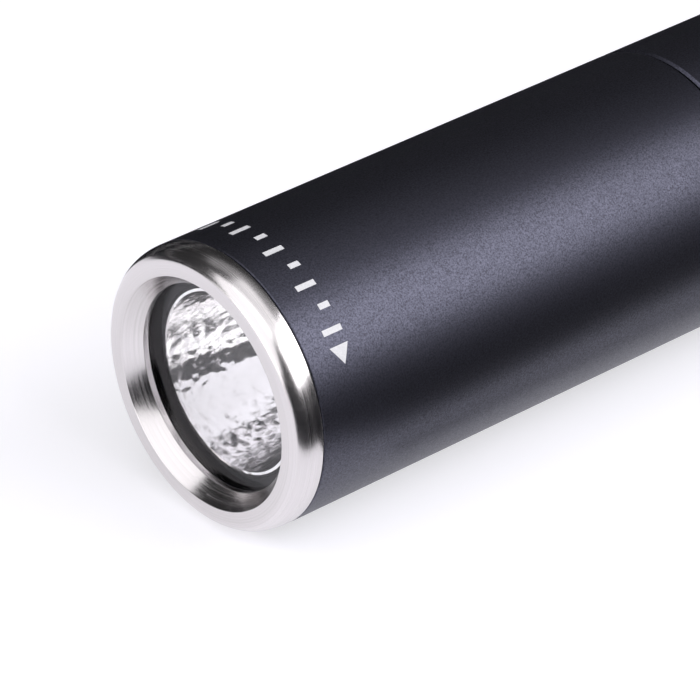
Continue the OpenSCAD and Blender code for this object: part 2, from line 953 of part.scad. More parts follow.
// One finger flute: a round bar with round ends, sunk to its depth
module flute() {
    bar_r = (pow(flute_w / 2, 2) + pow(flute_deep, 2)) / (2 * flute_deep);
    z0 = cap_z + flute_from + flute_w / 2;
    z1 = cap_z + flute_from + flute_len - flute_w / 2;
    translate([body_r - flute_deep + bar_r, 0, z0])
        cylinder(r = bar_r, h = z1 - z0);
    translate([body_r - flute_deep + bar_r, 0, z0])
        sphere(r = bar_r);
    translate([body_r - flute_deep + bar_r, 0, z1])
        sphere(r = bar_r);
}

module switch_ring() {
    color("peru")
        lay()
            spanner_ring(
                switch_ring_z, switch_board_z, switch_board_r, switch_board_r - switch_ring_w, -1
            );
}

module switch_board() {
    color("darkgreen")
        lay()
            tube_of(switch_board_z, board_rear, switch_board_r, 0);
}

module switch_housing() {
    color("black")
        lay()
            difference() {
                translate([0, 0, (board_rear + housing_rear) / 2])
                    cube([housing_side, housing_side, housing_h], center = true);
                tube_of(board_rear + housing_wall, housing_rear - housing_wall, housing_bore_d / 2, 0);
                tube_of(board_rear + housing_wall, housing_rear + over, plunger_d / 2 + slide_fit, 0);
            }
}

plunger_foot_z = housing_rear - housing_wall - seam_gap - plunger_foot_t;

module switch_spring() {
    color("gold")
        lay()
            coil(
                switch_curls, switch_spring_d / 2, switch_spring_d / 2,
                board_rear + housing_wall, plunger_foot_z, switch_wire
            );
}

module switch_plunger() {
    color("white")
        lay() {
            tube_of(plunger_foot_z, plunger_foot_z + plunger_foot_t, plunger_foot_d / 2, 0);
            tube_of(plunger_foot_z, button_flange_z, plunger_d / 2, 0);
        }
}

module button_seal() {
    color("crimson")
        lay()
            tube_of(seal_z, cap_wall_z, flange_r, button_hole_r);
}

module tail_button() {
    edge = [
        for (i = [0 : edge_steps])
        let (a = 90 * i / edge_steps)
        [
            button_r - button_edge_r + button_edge_r * cos(a),
            button_rear - button_edge_r + button_edge_r * sin(a)
        ]
    ];
    color("black")
        lay()
            rotate_extrude()
                polygon(concat(
                    [
                        [0, button_flange_z],
                        [flange_r, button_flange_z],
                        [flange_r, seal_z],
                        [button_r, seal_z]
                    ],
                    edge,
                    [[0, button_rear]]
                ));
}

echo(body_r = body_r, head_rear = head_rear, datum = datum, clip_turn = clip_turn);
echo(barrel_len = barrel_len, cap_rear = cap_rear, clip_bend_z = clip_bend_z, clip_out = clip_out);
echo(front_travel = front_travel, rear_travel = rear_travel, tube_shoulder = tube_shoulder);
echo(tube_z = tube_z, cap_z = cap_z, cap_edge_r = cap_edge_r, ridge_r = ridge_r, crown_r = crown_r);
echo(rim_bore_r = rim_bore_r, spring_foot_z = board_rear + housing_wall);
echo(front_spring_gap = coil_gap(
    contact_curls, front_spring_d / 2, front_spring_d / 2,
    driver_rear, driver_rear + front_spring_len, contact_wire
));
echo(tail_spring_gap = coil_gap(
    contact_curls, tail_spring_front_d / 2, tail_spring_rear_d / 2,
    cells_rear + contact_gap, tail_plate_z, contact_wire
));
echo(switch_spring_gap = coil_gap(
    switch_curls, switch_spring_d / 2, switch_spring_d / 2,
    board_rear + housing_wall, plunger_foot_z, switch_wire
));
echo(switch_spring_len = plunger_foot_z - board_rear - housing_wall);

bezel();
lens();
lens_gasket();
reflector();
centring_ring();
lamp_package();
lamp_dome();
lamp_board();
lamp_leads();
heat_sink();
driver_board();
driver_chips();
driver_ring();
head_shell();
index_marks();
front_spring();
front_contact();
battery_tube();
front_seal();
rear_seal();
front_cell();
rear_cell();
cell_terminals();
clip_ring();
clip_arm();
tail_spring();
tail_plate();
tail_cap();
switch_ring();
switch_board();
switch_housing();
switch_spring();
switch_plunger();
button_seal();
tail_button();
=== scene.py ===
"""Looks of a slim two-cell penlight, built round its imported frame.

All lengths are in millimetres unless a name or a comment says otherwise.
"""

import logging
import math
from collections.abc import Callable, Sequence
from dataclasses import dataclass, field
from enum import Enum

import bpy
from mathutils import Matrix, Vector


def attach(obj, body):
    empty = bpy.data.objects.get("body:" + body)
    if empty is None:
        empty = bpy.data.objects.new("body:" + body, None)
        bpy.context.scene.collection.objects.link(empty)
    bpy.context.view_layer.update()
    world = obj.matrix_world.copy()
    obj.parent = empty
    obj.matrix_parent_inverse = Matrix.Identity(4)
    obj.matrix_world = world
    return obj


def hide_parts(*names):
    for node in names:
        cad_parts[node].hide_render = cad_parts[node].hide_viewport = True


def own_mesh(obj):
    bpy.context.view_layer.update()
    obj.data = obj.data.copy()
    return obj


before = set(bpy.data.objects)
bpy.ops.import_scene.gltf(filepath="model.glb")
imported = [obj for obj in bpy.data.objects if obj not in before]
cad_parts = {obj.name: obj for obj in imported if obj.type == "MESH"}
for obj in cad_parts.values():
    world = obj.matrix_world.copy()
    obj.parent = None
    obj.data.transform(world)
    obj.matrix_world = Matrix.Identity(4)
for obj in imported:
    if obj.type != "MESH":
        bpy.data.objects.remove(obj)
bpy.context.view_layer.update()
LOG = logging.getLogger("penlight")
MM = 0.001
QUARTER = math.pi / 2
# Roundings of turned edges: inside a seat, a broken edge, and one that a finger feels
FINE, BROKEN, SOFT = 0.03, 0.05, 0.1
Socket = bpy.types.NodeSocket
Tree = bpy.types.NodeTree
Node = bpy.types.Node
Piece = bpy.types.Object
Point = tuple[float, float]
Corners = Sequence[Sequence[float]]


def linear(code: str) -> tuple[float, float, float, float]:
    """Turns an sRGB hex value to a linear colour.

    Args:
        code: A colour such as "#1b1c1f".

    Returns:
        Red, green, blue and alpha.
    """
    parts = [int(code[i : i + 2], 16) / 255 for i in (1, 3, 5)]
    red, green, blue = (c / 12.92 if c <= 0.04045 else ((c + 0.055) / 1.055) ** 2.4 for c in parts)
    return red, green, blue, 1.0


def feed(tree: Tree, node: Node, inputs: dict) -> None:
    """Sets a node's inputs.

    Args:
        tree: The node tree that holds the node.
        node: The node.
        inputs: For each input, by name or place, a value or a socket to link from.
    """
    for name, value in inputs.items():
        if isinstance(value, Socket):
            tree.links.new(value, node.inputs[name])
        else:
            node.inputs[name].default_value = value


class Side(Enum):
    """Which way a thread's ridge stands from its wall."""

    OUTWARD = 1
    INWARD = -1


# ---- finishes


@dataclass
class Skin:
    """A surface while its material is built: its node tree, its Principled node and its first colour."""

    tree: Tree
    shader: Node
    colour: str

    def feed(self, inputs: dict) -> None:
        """Sets inputs of the Principled node."""
        feed(self.tree, self.shader, inputs)

    def add(self, kind: str, settings: dict | None = None, inputs: dict | None = None) -> Node:
        """Adds a node with its settings and links.

        Args:
            kind: The node's type, without Blender's usual first word.
            settings: Values for the node's own properties.
            inputs: For each input, by name or place, a value or a socket to link from.

        Returns:
            The new node.
        """
        node = self.tree.nodes.new("ShaderNode" + kind)
        for name, value in (settings or {}).items():
            setattr(node, name, value)
        feed(self.tree, node, inputs or {})
        return node

    def place(self) -> Socket:
        """The point on the piece, in metres."""
        return self.add("TexCoord").outputs["Object"]

    def spots(self, size: float, depth: float = 2.0) -> Socket:
        """A grain of soft spots.

        Args:
            size: Size of one spot.
            depth: How many finer layers are added.

        Returns:
            The grain's value, about 0.5 on average.
        """
        inputs = {"Vector": self.place(), "Scale": 1 / (size * MM), "Detail": depth, "Roughness": 0.6}
        return self.add("TexNoise", inputs=inputs).outputs["Fac"]

    def rings(self, pitch: float, drift: float = 0.15) -> Socket:
        """Fine rings round the torch's axis, as a lathe tool leaves them.

        Args:
            pitch: Distance from one ring to the next.
            drift: How much the rings change on their way round.

        Returns:
            The rings' value, about 0.5 on average.
        """
        parts = self.add("SeparateXYZ", inputs={0: self.place()}).outputs
        along, y, z = parts["X"], parts["Y"], parts["Z"]
        times, plus = {"operation": "MULTIPLY"}, {"operation": "ADD"}
        squares = [self.add("Math", times, {0: side, 1: side}).outputs[0] for side in (y, z)]
        total = self.add("Math", plus, dict(enumerate(squares))).outputs[0]
        radius = self.add("Math", {"operation": "SQRT"}, {0: total}).outputs[0]
        across = self.add("Math", plus, {0: along, 1: radius}).outputs[0]
        turn = self.add("Math", {"operation": "ARCTAN2"}, {0: y, 1: z}).outputs[0]
        slow = self.add("Math", times, {0: turn, 1: drift * pitch * MM}).outputs[0]
        line = self.add("CombineXYZ", inputs={"X": across, "Y": slow, "Z": radius}).outputs[0]
        inputs = {"Vector": line, "Scale": 1 / (pitch * MM), "Detail": 3.0, "Roughness": 0.65}
        return self.add("TexNoise", inputs=inputs).outputs["Fac"]

    def spread(self, value: Socket, low: float, high: float) -> Socket:
        """Maps a grain from its usual 0.3 to 0.7 onto a range.

        Args:
            value: The grain.
            low: What its low spots give.
            high: What its high spots give.

        Returns:
            The mapped value.
        """
        inputs = {"Value": value, "From Min": 0.3, "From Max": 0.7, "To Min": low, "To Max": high}
        return self.add("MapRange", {"clamp": True}, inputs).outputs["Result"]

    def relief(self, value: Socket, height: float, strength: float = 1.0) -> None:
        """Raises the surface by a grain, over what already raises it.

        Args:
            value: The grain.
            height: Full height of the grain.
            strength: Share of the bump that is used.
        """
        inputs = {"Height": value, "Distance": height * MM, "Strength": strength}
        earlier = self.shader.inputs["Normal"].links
        if earlier:
            inputs["Normal"] = earlier[0].from_socket
        bump = self.add("Bump", inputs=inputs)
        self.feed({"Normal": bump.outputs["Normal"]})

    def tint(self, value: Socket, other: str) -> None:
        """Mixes a second colour into the first.

        Args:
            value: Share of the second colour, from 0 to 1.
            other: The second colour.
        """
        # The colour inputs of this node have no names of their own, only places
        inputs = {0: value, 6: linear(self.colour), 7: linear(other)}
        mix = self.add("Mix", {"data_type": "RGBA"}, inputs)
        self.feed({"Base Color": mix.outputs[2]})

    def grained(
        self, size: float, other: str, share: float, height: float, strength: float = 0.6
    ) -> None:
        """Lays one grain of spots over the surface, as a second colour and as relief.

        Args:
            size: Size of one spot.
            other: The second colour.
            share: Share of that colour in the high spots.
            height: Full height of the grain.
            strength: Share of the bump that is used.
        """
        grain = self.spots(size)
        self.tint(self.spread(grain, 0.0, share), other)
        self.relief(grain, height, strength)


@dataclass(frozen=True)
class Finish:
    """One real surface, as a Principled material with its own fine detail."""

    name: str
    colour: str
    rough: float = 0.5
    metal: float = 0.0

    def make(self) -> bpy.types.Material:
        """Builds the material once.

        Returns:
            The material, which is the same one each time.
        """
        known = bpy.data.materials.get(self.name)
        if known:
            return known
        material = bpy.data.materials.new(self.name)
        material.use_nodes = True
        tree = material.node_tree
        skin = Skin(tree, tree.nodes["Principled BSDF"], self.colour)
        skin.feed({"Base Color": linear(self.colour), "Roughness": self.rough, "Metallic": self.metal})
        self.detail(skin)
        return material

    def detail(self, skin: Skin) -> None:
        """Adds the fine detail of this surface.

        Args:
            skin: The surface in its node tree.
        """


@dataclass(frozen=True)
class BlastedAnodise(Finish):
    """Aluminium, fine bead blasted and hard anodised black: a dark satin skin with a fine sparkle."""

    # The real grit is about half as wide, and is drawn as coarse as it needs to show
    grit: float = 0.085
    light_grain: str = "#0c0c0e"
    bump: float = 0.45

    def detail(self, skin: Skin) -> None:
        """Adds the blasted grain as relief, colour, gloss and sparkle.

        Args:
            skin: The surface in its node tree.
        """
        grain = skin.spots(self.grit)
        skin.tint(skin.spread(grain, 0.0, 1.0), self.light_grain)
        skin.relief(grain, 0.012, self.bump)
        # Each facet of the blasted oxide throws back its own share of a slightly violet light
        inputs = {
            "Roughness": skin.spread(grain, self.rough + 0.06, self.rough - 0.05),
            "Specular IOR Level": skin.spread(grain, 0.42, 1.0),
            "Specular Tint": (0.74, 0.75, 1.0, 1.0),
            "IOR": 1.7,
        }
        skin.feed(inputs)


@dataclass(frozen=True)
class TurnedMetal(Finish):
    """Bare metal off the lathe: bright, with fine rings that break up its reflections."""

    pitch: float = 0.06
    height: float = 0.0014
    shade: str = "#cdcac9"

    def detail(self, skin: Skin) -> None:
        """Adds the tool rings as relief, colour and gloss, and a slow waviness.

        Args:
            skin: The surface in its node tree.
        """
        lines = skin.rings(self.pitch)
        skin.feed({"Roughness": skin.spread(lines, self.rough + 0.08, self.rough - 0.05)})
        skin.tint(skin.spread(lines, 0.0, 0.8), self.shade)
        skin.relief(lines, self.height)
        skin.relief(skin.spots(2.2, 0.0), 0.004, 0.5)


@dataclass(frozen=True)
class DimpledMirror(Finish):
    """Aluminium vapour on a dimpled bowl: a bright mirror broken into small soft facets."""

    dimple: float = 0.42

    def detail(self, skin: Skin) -> None:
        """Softens the pressed dimples and adds a slow ripple and a fine haze.

        Args:
            skin: The surface in its node tree.
        """
        inputs = {"Vector": skin.place(), "Scale": 1 / (self.dimple * MM), "Smoothness": 0.8}
        cells = skin.add("TexVoronoi", {"feature": "SMOOTH_F1"}, inputs).outputs["Distance"]
        skin.relief(cells, 0.02)
        skin.relief(skin.spots(1.5, 1.0), 0.03)
        skin.relief(skin.spots(0.2, 1.0), 0.004)


@dataclass(frozen=True)
class ClearGlass(Finish):
    """Polished mineral glass with a thin coating: clear, with a faint cool gleam."""

    def detail(self, skin: Skin) -> None:
        """Makes the body clear and gives the faces a trace of waviness.

        Args:
            skin: The surface in its node tree.
        """
        # The coating takes away most of the gleam and leaves a faint violet one
        coated = {"Transmission Weight": 1.0, "IOR": 1.46, "Specular Tint": (0.05, 0.04, 0.08, 1.0)}
        skin.feed(coated)
        skin.relief(skin.spots(6.0, 0.0), 0.001, 0.3)


@dataclass(frozen=True)
class SoftRubber(Finish):
    """Moulded rubber: matte and dark, with a fine tooth and paler worn spots."""

    worn: str = "#2c2c2e"
    gleam: float = 0.35

    def detail(self, skin: Skin) -> None:
        """Adds the moulded tooth and holds back the gleam."""
        skin.grained(0.16, self.worn, share=0.7, height=0.01, strength=0.6)
        skin.feed({"Specular IOR Level": self.gleam})


@dataclass(frozen=True)
class MouldedPlastic(Finish):
    """Injection-moulded plastic: even colour, with a faint spark-eroded texture."""

    second: str = "#d8d6d0"
    tooth: float = 0.12

    def detail(self, skin: Skin) -> None:
        """Adds the tool's texture and slow flow marks.

        Args:
            skin: The surface in its node tree.
        """
        grain = skin.spots(self.tooth)
        skin.tint(skin.spread(skin.spots(1.8), 0.0, 0.5), self.second)
        skin.relief(grain, 0.006, 0.5)
        skin.feed({"Roughness": skin.spread(grain, self.rough + 0.06, self.rough - 0.06)})


@dataclass(frozen=True)
class SolderMask(Finish):
    """Lacquered circuit board: glossy lacquer with copper tracks faintly raised under it."""

    track: str = "#1d6b3f"
    track_pitch: float = 1.1

    def detail(self, skin: Skin) -> None:
        """Adds the tracks and the lacquer's coat.

        Args:
            skin: The surface in its node tree.
        """
        inputs = {"Vector": skin.place(), "Scale": 1 / (self.track_pitch * MM), "Randomness": 0.4}
        edges = skin.add("TexVoronoi", {"feature": "DISTANCE_TO_EDGE"}, inputs).outputs["Distance"]
        limits = {"Value": edges, "From Min": 0.1, "From Max": 0.16, "To Min": 1.0, "To Max": 0.0}
        tracks = skin.add("MapRange", {"clamp": True}, limits).outputs["Result"]
        skin.tint(tracks, self.track)
        skin.relief(tracks, 0.03, 0.6)
        skin.feed({"Coat Weight": 0.5, "Coat Roughness": 0.15})


@dataclass(frozen=True)
class DrawnWire(Finish):
    """Drawn and plated wire: warm bright metal with small dull patches."""

    shade: str = "#a5813a"

    def detail(self, skin: Skin) -> None:
        """Adds the drawing marks and the plating's patches.

        Args:
            skin: The surface in its node tree.
        """
        grain = skin.spots(0.25)
        skin.tint(skin.spread(grain, 0.0, 0.8), self.shade)
        skin.feed({"Roughness": skin.spread(grain, self.rough + 0.1, self.rough - 0.05)})
        skin.relief(skin.spots(0.08), 0.004, 0.6)


@dataclass(frozen=True)
class GreasedSeal(Finish):
    """Red silicone ring with a film of grease: soft colour under a wet gleam."""

    smeared: str = "#8a1a14"

    def detail(self, skin: Skin) -> None:
        """Adds the grease film and its smears."""
        skin.grained(0.9, self.smeared, share=0.6, height=0.03, strength=0.5)
        skin.feed({"Coat Weight": 0.7, "Coat Roughness": 0.12})


@dataclass(frozen=True)
class ShrinkWrap(Finish):
    """Printed film shrunk on a cell: plain colour bands under a glossy skin."""

    band: str = "#a9b4b8"
    bands: tuple[Point, Point] = ((0.0, 1.0), (0.0, 1.0))

    def detail(self, skin: Skin) -> None:
        """Adds the bands by their place along the cell, and the film's ripple.

        Args:
            skin: The surface in its node tree.
        """
        along = skin.add("SeparateXYZ", inputs={0: skin.place()}).outputs["X"]
        shares = []
        for start, end in self.bands:
            after = skin.add("Math", {"operation": "GREATER_THAN"}, {0: along, 1: start * MM})
            before = skin.add("Math", {"operation": "LESS_THAN"}, {0: along, 1: end * MM})
            both = {0: after.outputs[0], 1: before.outputs[0]}
            shares.append(skin.add("Math", {"operation": "MULTIPLY"}, both).outputs[0])
        either = skin.add("Math", {"operation": "MAXIMUM"}, dict(enumerate(shares))).outputs[0]
        skin.tint(either, self.band)
        skin.relief(skin.spots(1.4), 0.02, 0.4)
        skin.feed({"Coat Weight": 0.6, "Coat Roughness": 0.1})


@dataclass(frozen=True)
class Phosphor(Finish):
    """Yellow phosphor under the lamp's dome: powdery and matte."""

    deep: str = "#c9a53a"

    def detail(self, skin: Skin) -> None:
        """Adds the powder's grain."""
        skin.grained(0.1, self.deep, share=1.0, height=0.01, strength=0.6)


@dataclass(frozen=True)
class ClearSilicone(Finish):
    """Cast silicone dome: clear, soft and slightly warm."""

    def detail(self, skin: Skin) -> None:
        """Makes the body clear with a slight ripple."""
        skin.feed({"Transmission Weight": 1.0, "IOR": 1.41})
        skin.relief(skin.spots(1.5, 0.0), 0.01, 0.4)


@dataclass(frozen=True)
class PrintedInk(Finish):
    """Pad-printed white ink: flat and matte, thin at places over the blasted grain."""

    thin: str = "#b9babd"

    def detail(self, skin: Skin) -> None:
        """Adds the grain that shows through the ink."""
        skin.grained(0.085, self.thin, share=0.45, height=0.006, strength=0.5)


@dataclass(frozen=True)
class MatteCard(Finish):
    """Uncoated black card: throws nothing back, so metal shows it as a plain dark edge."""

    def detail(self, skin: Skin) -> None:
        """Takes away the gleam."""
        skin.feed({"Specular IOR Level": 0.0})


@dataclass(frozen=True)
class MattePaper(Finish):
    """Matte studio paper that the camera, metal and glass see as plain white where no shadow falls."""

    # Light that it seems to give, of which 1 is white
    lift: float = 0.5

    def detail(self, skin: Skin) -> None:
        """Takes away the gleam and lights the paper for what looks at it.

        Args:
            skin: The surface in its node tree.
        """
        path = skin.add("LightPath").outputs
        seen = path["Is Camera Ray"]
        for ray in ("Is Glossy Ray", "Is Transmission Ray"):
            seen = skin.add("Math", {"operation": "MAXIMUM"}, {0: seen, 1: path[ray]}).outputs[0]
        glow = skin.add("Math", {"operation": "MULTIPLY"}, {0: seen, 1: self.lift}).outputs[0]
        white = {"Emission Color": (1, 1, 1, 1), "Emission Strength": glow, "Specular IOR Level": 0.0}
        skin.feed(white)


ANODISE = BlastedAnodise("anodised_aluminium_black", "#030303", 0.415)
STEEL = TurnedMetal("turned_stainless_steel", "#dfdbdc", 0.2, 1.0)
MIRROR = DimpledMirror("aluminised_reflector", "#fcfbfc", 0.11, 1.0)
GLASS = ClearGlass("coated_mineral_glass", "#fdfdfd", 0.0)
GASKET = SoftRubber("gasket_rubber_black", "#08080a", 0.6, worn="#101012", gleam=0.08)
BUTTON = SoftRubber("button_rubber_black", "#151516", 0.6, worn="#303033")
INK = PrintedInk("printed_ink_white", "#dcdcde", 0.55)
BRASS = TurnedMetal("turned_brass", "#d9b56a", 0.22, 1.0, shade="#b98f42")
NICKEL = TurnedMetal("nickel_plated_steel", "#d6d3cc", 0.24, 1.0, shade="#aaa69f")
BLACK_STEEL = BlastedAnodise("blackened_spring_steel", "#0a0a0b", 0.36, grit=0.12)
GOLD_WIRE = DrawnWire("gold_plated_wire", "#e0bd6c", 0.22, 1.0)
LEAD = MouldedPlastic("lead_insulation_red", "#a3241c", 0.4, second="#8a1c16")
WHITE_PLASTIC = MouldedPlastic("moulded_nylon_white", "#e6e4df", 0.5)
BLACK_PLASTIC = MouldedPlastic("moulded_nylon_black", "#191a1b", 0.5, second="#242527")
CHIP = MouldedPlastic("moulded_epoxy_black", "#1c1c1d", 0.45, second="#2a2a2b")
GREEN_BOARD = SolderMask("solder_mask_green", "#0f4a29", 0.35)
WHITE_BOARD = SolderMask("solder_mask_white", "#e4e5e0", 0.35, track="#d2d3cd")
SEAL = GreasedSeal("silicone_seal_red", "#a8231b", 0.4)
PHOSPHOR = Phosphor("lamp_phosphor_yellow", "#e2c85a", 0.7)
SILICONE = ClearSilicone("silicone_dome_clear", "#fff8dd", 0.02)
CARD = MatteCard("black_card", "#1c1c1f", 0.9)
TABLE = MattePaper("matte_white_table", "#c2c1c9", 0.9, lift=0.55)
WALL = MattePaper("matte_white_wall", "#c2c1c9", 0.9, lift=0.9)


# ---- places along the torch


@dataclass(frozen=True)
class Places:
    """Places along the axis, counted from the seam behind the bezel, and the radii that pieces share."""

    middle: float = 14.34367
    lens: float = -0.26
    lens_rear: float = 0.74
    flange: float = 1.29
    skirt_rear: float = 4.0
    bowl_rear: float = 7.44733
    lamp_board: float = 9.04733
    driver: float = 15.34733
    driver_rear: float = 16.34733
    sink_rear: float = 18.04733
    pad: float = 20.44733
    nub: float = 21.04733
    tube: float = 28.74733
    shoulder: float = 99.99733
    clip_bend: float = 102.94733
    cap: float = 104.20733
    cells_rear: float = 110.04733
    plate: float = 114.19733
    board: float = 114.54733
    housing_rear: float = 121.24733
    flange_front: float = 123.44733
    cap_rear: float = 127.64733
    body_r: float = 7.25
    thread_r: float = 6.66
    bore_r: float = 6.45
    neck_r: float = 6.4
    seat_r: float = 5.9
    board_r: float = 5.25

    def x(self, station: float) -> float:
        """The world's X of a place, in metres."""
        return (station - self.middle) * MM


AT = Places()


# ---- modelling steps


class Workshop:
    """The modelling steps that the pieces share."""

    @staticmethod
    def choose(piece: Piece) -> None:
        """Leaves edit mode and makes a piece the only one selected, and the active one.

        Args:
            piece: The piece.
        """
        if bpy.context.mode != "OBJECT":
            bpy.ops.object.mode_set(mode="OBJECT")
        bpy.ops.object.select_all(action="DESELECT")
        piece.select_set(True)
        bpy.context.view_layer.objects.active = piece

    @staticmethod
    def edit(piece: Piece, mode: str = "VERT", action: str = "DESELECT") -> None:
        """Opens a piece in edit mode.

        Args:
            piece: The piece.
            mode: What is selected in it: corners, edges or faces.
            action: Whether all of it is selected, or nothing.
        """
        Workshop.choose(piece)
        bpy.ops.object.mode_set(mode="EDIT")
        bpy.ops.mesh.select_mode(type=mode)
        bpy.ops.mesh.select_all(action=action)

    @staticmethod
    def swing(piece: Piece, angle: float) -> None:
        """Turns a piece's mesh about the torch's axis.

        Args:
            piece: The piece.
            angle: The turn in radians. With no window, it runs against the usual hand.
        """
        Workshop.edit(piece, action="SELECT")
        bpy.ops.transform.rotate(value=angle, orient_axis="X", center_override=(0, 0, 0))
        bpy.ops.object.mode_set(mode="OBJECT")

    @staticmethod
    def modify(piece: Piece, kind: str, **settings: object) -> None:
        """Adds a modifier and applies it.

        Args:
            piece: The piece.
            kind: The modifier's type in Blender.
            settings: Values for the modifier's own properties.
        """
        Workshop.choose(piece)
        modifier = piece.modifiers.new(kind.lower(), kind)
        for name, value in settings.items():
            setattr(modifier, name, value)
        bpy.ops.object.modifier_apply(modifier=modifier.name)

    @staticmethod
    def close(piece: Piece, smooth: float = 32.0) -> Piece:
        """Merges doubles, turns the faces outwards and shades the piece.

        Args:
            piece: The piece to close.
            smooth: Angle up to which an edge looks round.

        Returns:
            The same piece.
        """
        Workshop.edit(piece, action="SELECT")
        bpy.ops.mesh.remove_doubles(threshold=5e-7)
        bpy.ops.mesh.normals_make_consistent(inside=False)
        bpy.ops.object.mode_set(mode="OBJECT")
        bpy.ops.object.shade_smooth_by_angle(angle=math.radians(smooth))
        return piece

    @staticmethod
    def arc(centre: Point, reach: Point, degrees: range) -> list[Point]:
        """Points of a round part of an outline.

        Args:
            centre: Place and radius of its centre.
            reach: How far it reaches along the axis, and away from it.
            degrees: The angles of its points, where 0 is along the axis.

        Returns:
            Place and radius of each point.
        """
        turns = [math.radians(a) for a in degrees]
        return [(centre[0] + reach[0] * math.cos(t), centre[1] + reach[1] * math.sin(t)) for t in turns]

    @staticmethod
    def eased(corners: Corners, ring: bool = True, steps: int = 5) -> list[Point]:
        """Rounds the corners of an outline.

        Args:
            corners: Place and radius of each corner, and a rounding where it has one.
            ring: Whether the outline closes on itself.
            steps: Steps of one rounding.

        Returns:
            The outline's points, with the first one again at the end of a ring.
        """
        # A rounding takes up less than half of a side, so that the one at its other end still fits
        room, least = 0.48, 0.05
        out: list[Point] = []
        count = len(corners)
        for i, corner in enumerate(corners):
            here = Vector(corner[:2])
            rounding = corner[2] if len(corner) > 2 else 0.0
            if rounding <= 0 or (not ring and i in (0, count - 1)):
                out.append((here.x, here.y))
                continue
            back = Vector(corners[i - 1][:2]) - here
            ahead = Vector(corners[(i + 1) % count][:2]) - here
            run = rounding / max(math.tan(back.angle(ahead) / 2), least)
            start = here + back.normalized() * min(run, room * back.length)
            end = here + ahead.normalized() * min(run, room * ahead.length)
            for k in range(steps + 1):
                s = k / steps
                point = start * (1 - s) ** 2 + here * (2 * s * (1 - s)) + end * s**2
                out.append((point.x, point.y))
        return [*out, out[0]] if ring else out

    @staticmethod
    def line(name: str, outline: Sequence[Point]) -> Piece:
        """Draws an outline above the axis by extruding one corner after another.

        Args:
            name: The new piece's name.
            outline: Place and radius of each point.

        Returns:
            The open piece, in edit mode, with its last corner selected.
        """
        bpy.ops.object.select_all(action="DESELECT")
        start = (AT.x(outline[0][0]), 0.0, outline[0][1] * MM)
        bpy.ops.mesh.primitive_circle_add(vertices=3, radius=0.1 * MM, location=start)
        piece = bpy.context.object
        piece.name = name
        bpy.ops.object.transform_apply(location=True)
        Workshop.edit(piece, action="SELECT")
        bpy.ops.mesh.merge(type="CENTER")
        for before, after in zip(outline, outline[1:]):
            step = ((after[0] - before[0]) * MM, 0.0, (after[1] - before[1]) * MM)
            bpy.ops.mesh.extrude_region_move(TRANSFORM_OT_translate={"value": step})
        bpy.ops.mesh.select_all(action="SELECT")
        return piece

    @staticmethod
    def turned(name: str, outline: Sequence[Point], steps: int = 160, smooth: float = 32.0) -> Piece:
        """Turns an outline about the torch's axis, as on a lathe.

        Args:
            name: The new piece's name.
            outline: Place and radius of each point. It closes on itself or ends on the axis.
            steps: Facets round the axis.
            smooth: Angle up to which an edge looks round.

        Returns:
            The closed piece.
        """
        piece = Workshop.line(name, outline)
        bpy.ops.mesh.spin(steps=steps, angle=2 * math.pi, center=(0, 0, 0), axis=(1, 0, 0))
        return Workshop.close(piece, smooth)

    @staticmethod
    def wound(
        name: str, side: int, wire: float, radii: Point, span: Point, curls: float, steps: int = 40
    ) -> Piece:
        """Winds one wire about the axis, with a closed ring at each end.

        Args:
            name: The new piece's name.
            side: How many sides the wire has.
            wire: Its diameter.
            radii: Outer radius at the start and at the end.
            span: Places where the spring starts and ends.
            curls: Free curls between the two end rings.
            steps: Steps of one curl.

        Returns:
            The closed piece.
        """
        bpy.ops.object.select_all(action="DESELECT")
        centre = (AT.x(span[0]) + wire / 2 * MM, 0.0, (radii[0] - wire / 2) * MM)
        turn = (QUARTER, 0.0, 0.0)
        bpy.ops.mesh.primitive_circle_add(
            vertices=side, radius=wire / 2 * MM, fill_type="NGON", location=centre, rotation=turn
        )
        piece = bpy.context.object
        piece.name = name
        bpy.ops.object.transform_apply(location=True, rotation=True)
        run = (span[1] - span[0] - wire) * MM
        # Each end ring takes three quarters of a curl
        flat = 0.75
        count = round((curls + 2 * flat) * steps)
        shares = [min(1.0, max(0.0, (i / steps - flat) / curls)) for i in range(count + 1)]
        angle = 2 * math.pi / steps
        Workshop.edit(piece, "FACE", "SELECT")
        for i in range(count):
            share = shares[i + 1] - shares[i]
            inward = (radii[1] - radii[0]) * MM * share
            now = angle * (i + 1)
            away = (run * share, -math.sin(now) * inward, math.cos(now) * inward)
            bpy.ops.mesh.extrude_region_move(TRANSFORM_OT_translate={"value": (0, 0, 0)})
            bpy.ops.transform.rotate(value=-angle, orient_axis="X", center_override=(0, 0, 0))
            bpy.ops.transform.translate(value=away)
        return Workshop.close(piece, 60.0)

    @staticmethod
    def thread(name: str, wall: float, crest: float, span: Point, side: Side, lead: float = 1.0) -> Piece:
        """Winds the ridge of a thread on a wall.

        Args:
            name: The new piece's name.
            wall: Radius of the wall under the ridge.
            crest: Radius of the ridge's top.
            span: Places where the ridge starts and ends.
            side: Whether the ridge stands out of a neck or into a bore.
            lead: How far one turn runs.

        Returns:
            The closed piece.
        """
        low, high = span
        turns = (high - low) / lead - 1.0
        sunk = wall - side.value * 0.08
        flanks = ((0.0, sunk), (0.3, crest), (0.5, crest), (0.8, sunk))
        piece = Workshop.line(name, [(low + share * lead, radius) for share, radius in flanks])
        bpy.ops.mesh.edge_face_add()
        bpy.ops.object.mode_set(mode="OBJECT")
        steps = round(64 * turns)
        Workshop.modify(
            piece,
            "SCREW",
            axis="X",
            angle=2 * math.pi * turns,
            screw_offset=turns * lead * MM,
            steps=steps,
            render_steps=steps,
            use_merge_vertices=False,
        )
        Workshop.edit(piece, action="SELECT")
        bpy.ops.mesh.fill_holes(sides=len(flanks))
        return Workshop.close(piece, 25.0)

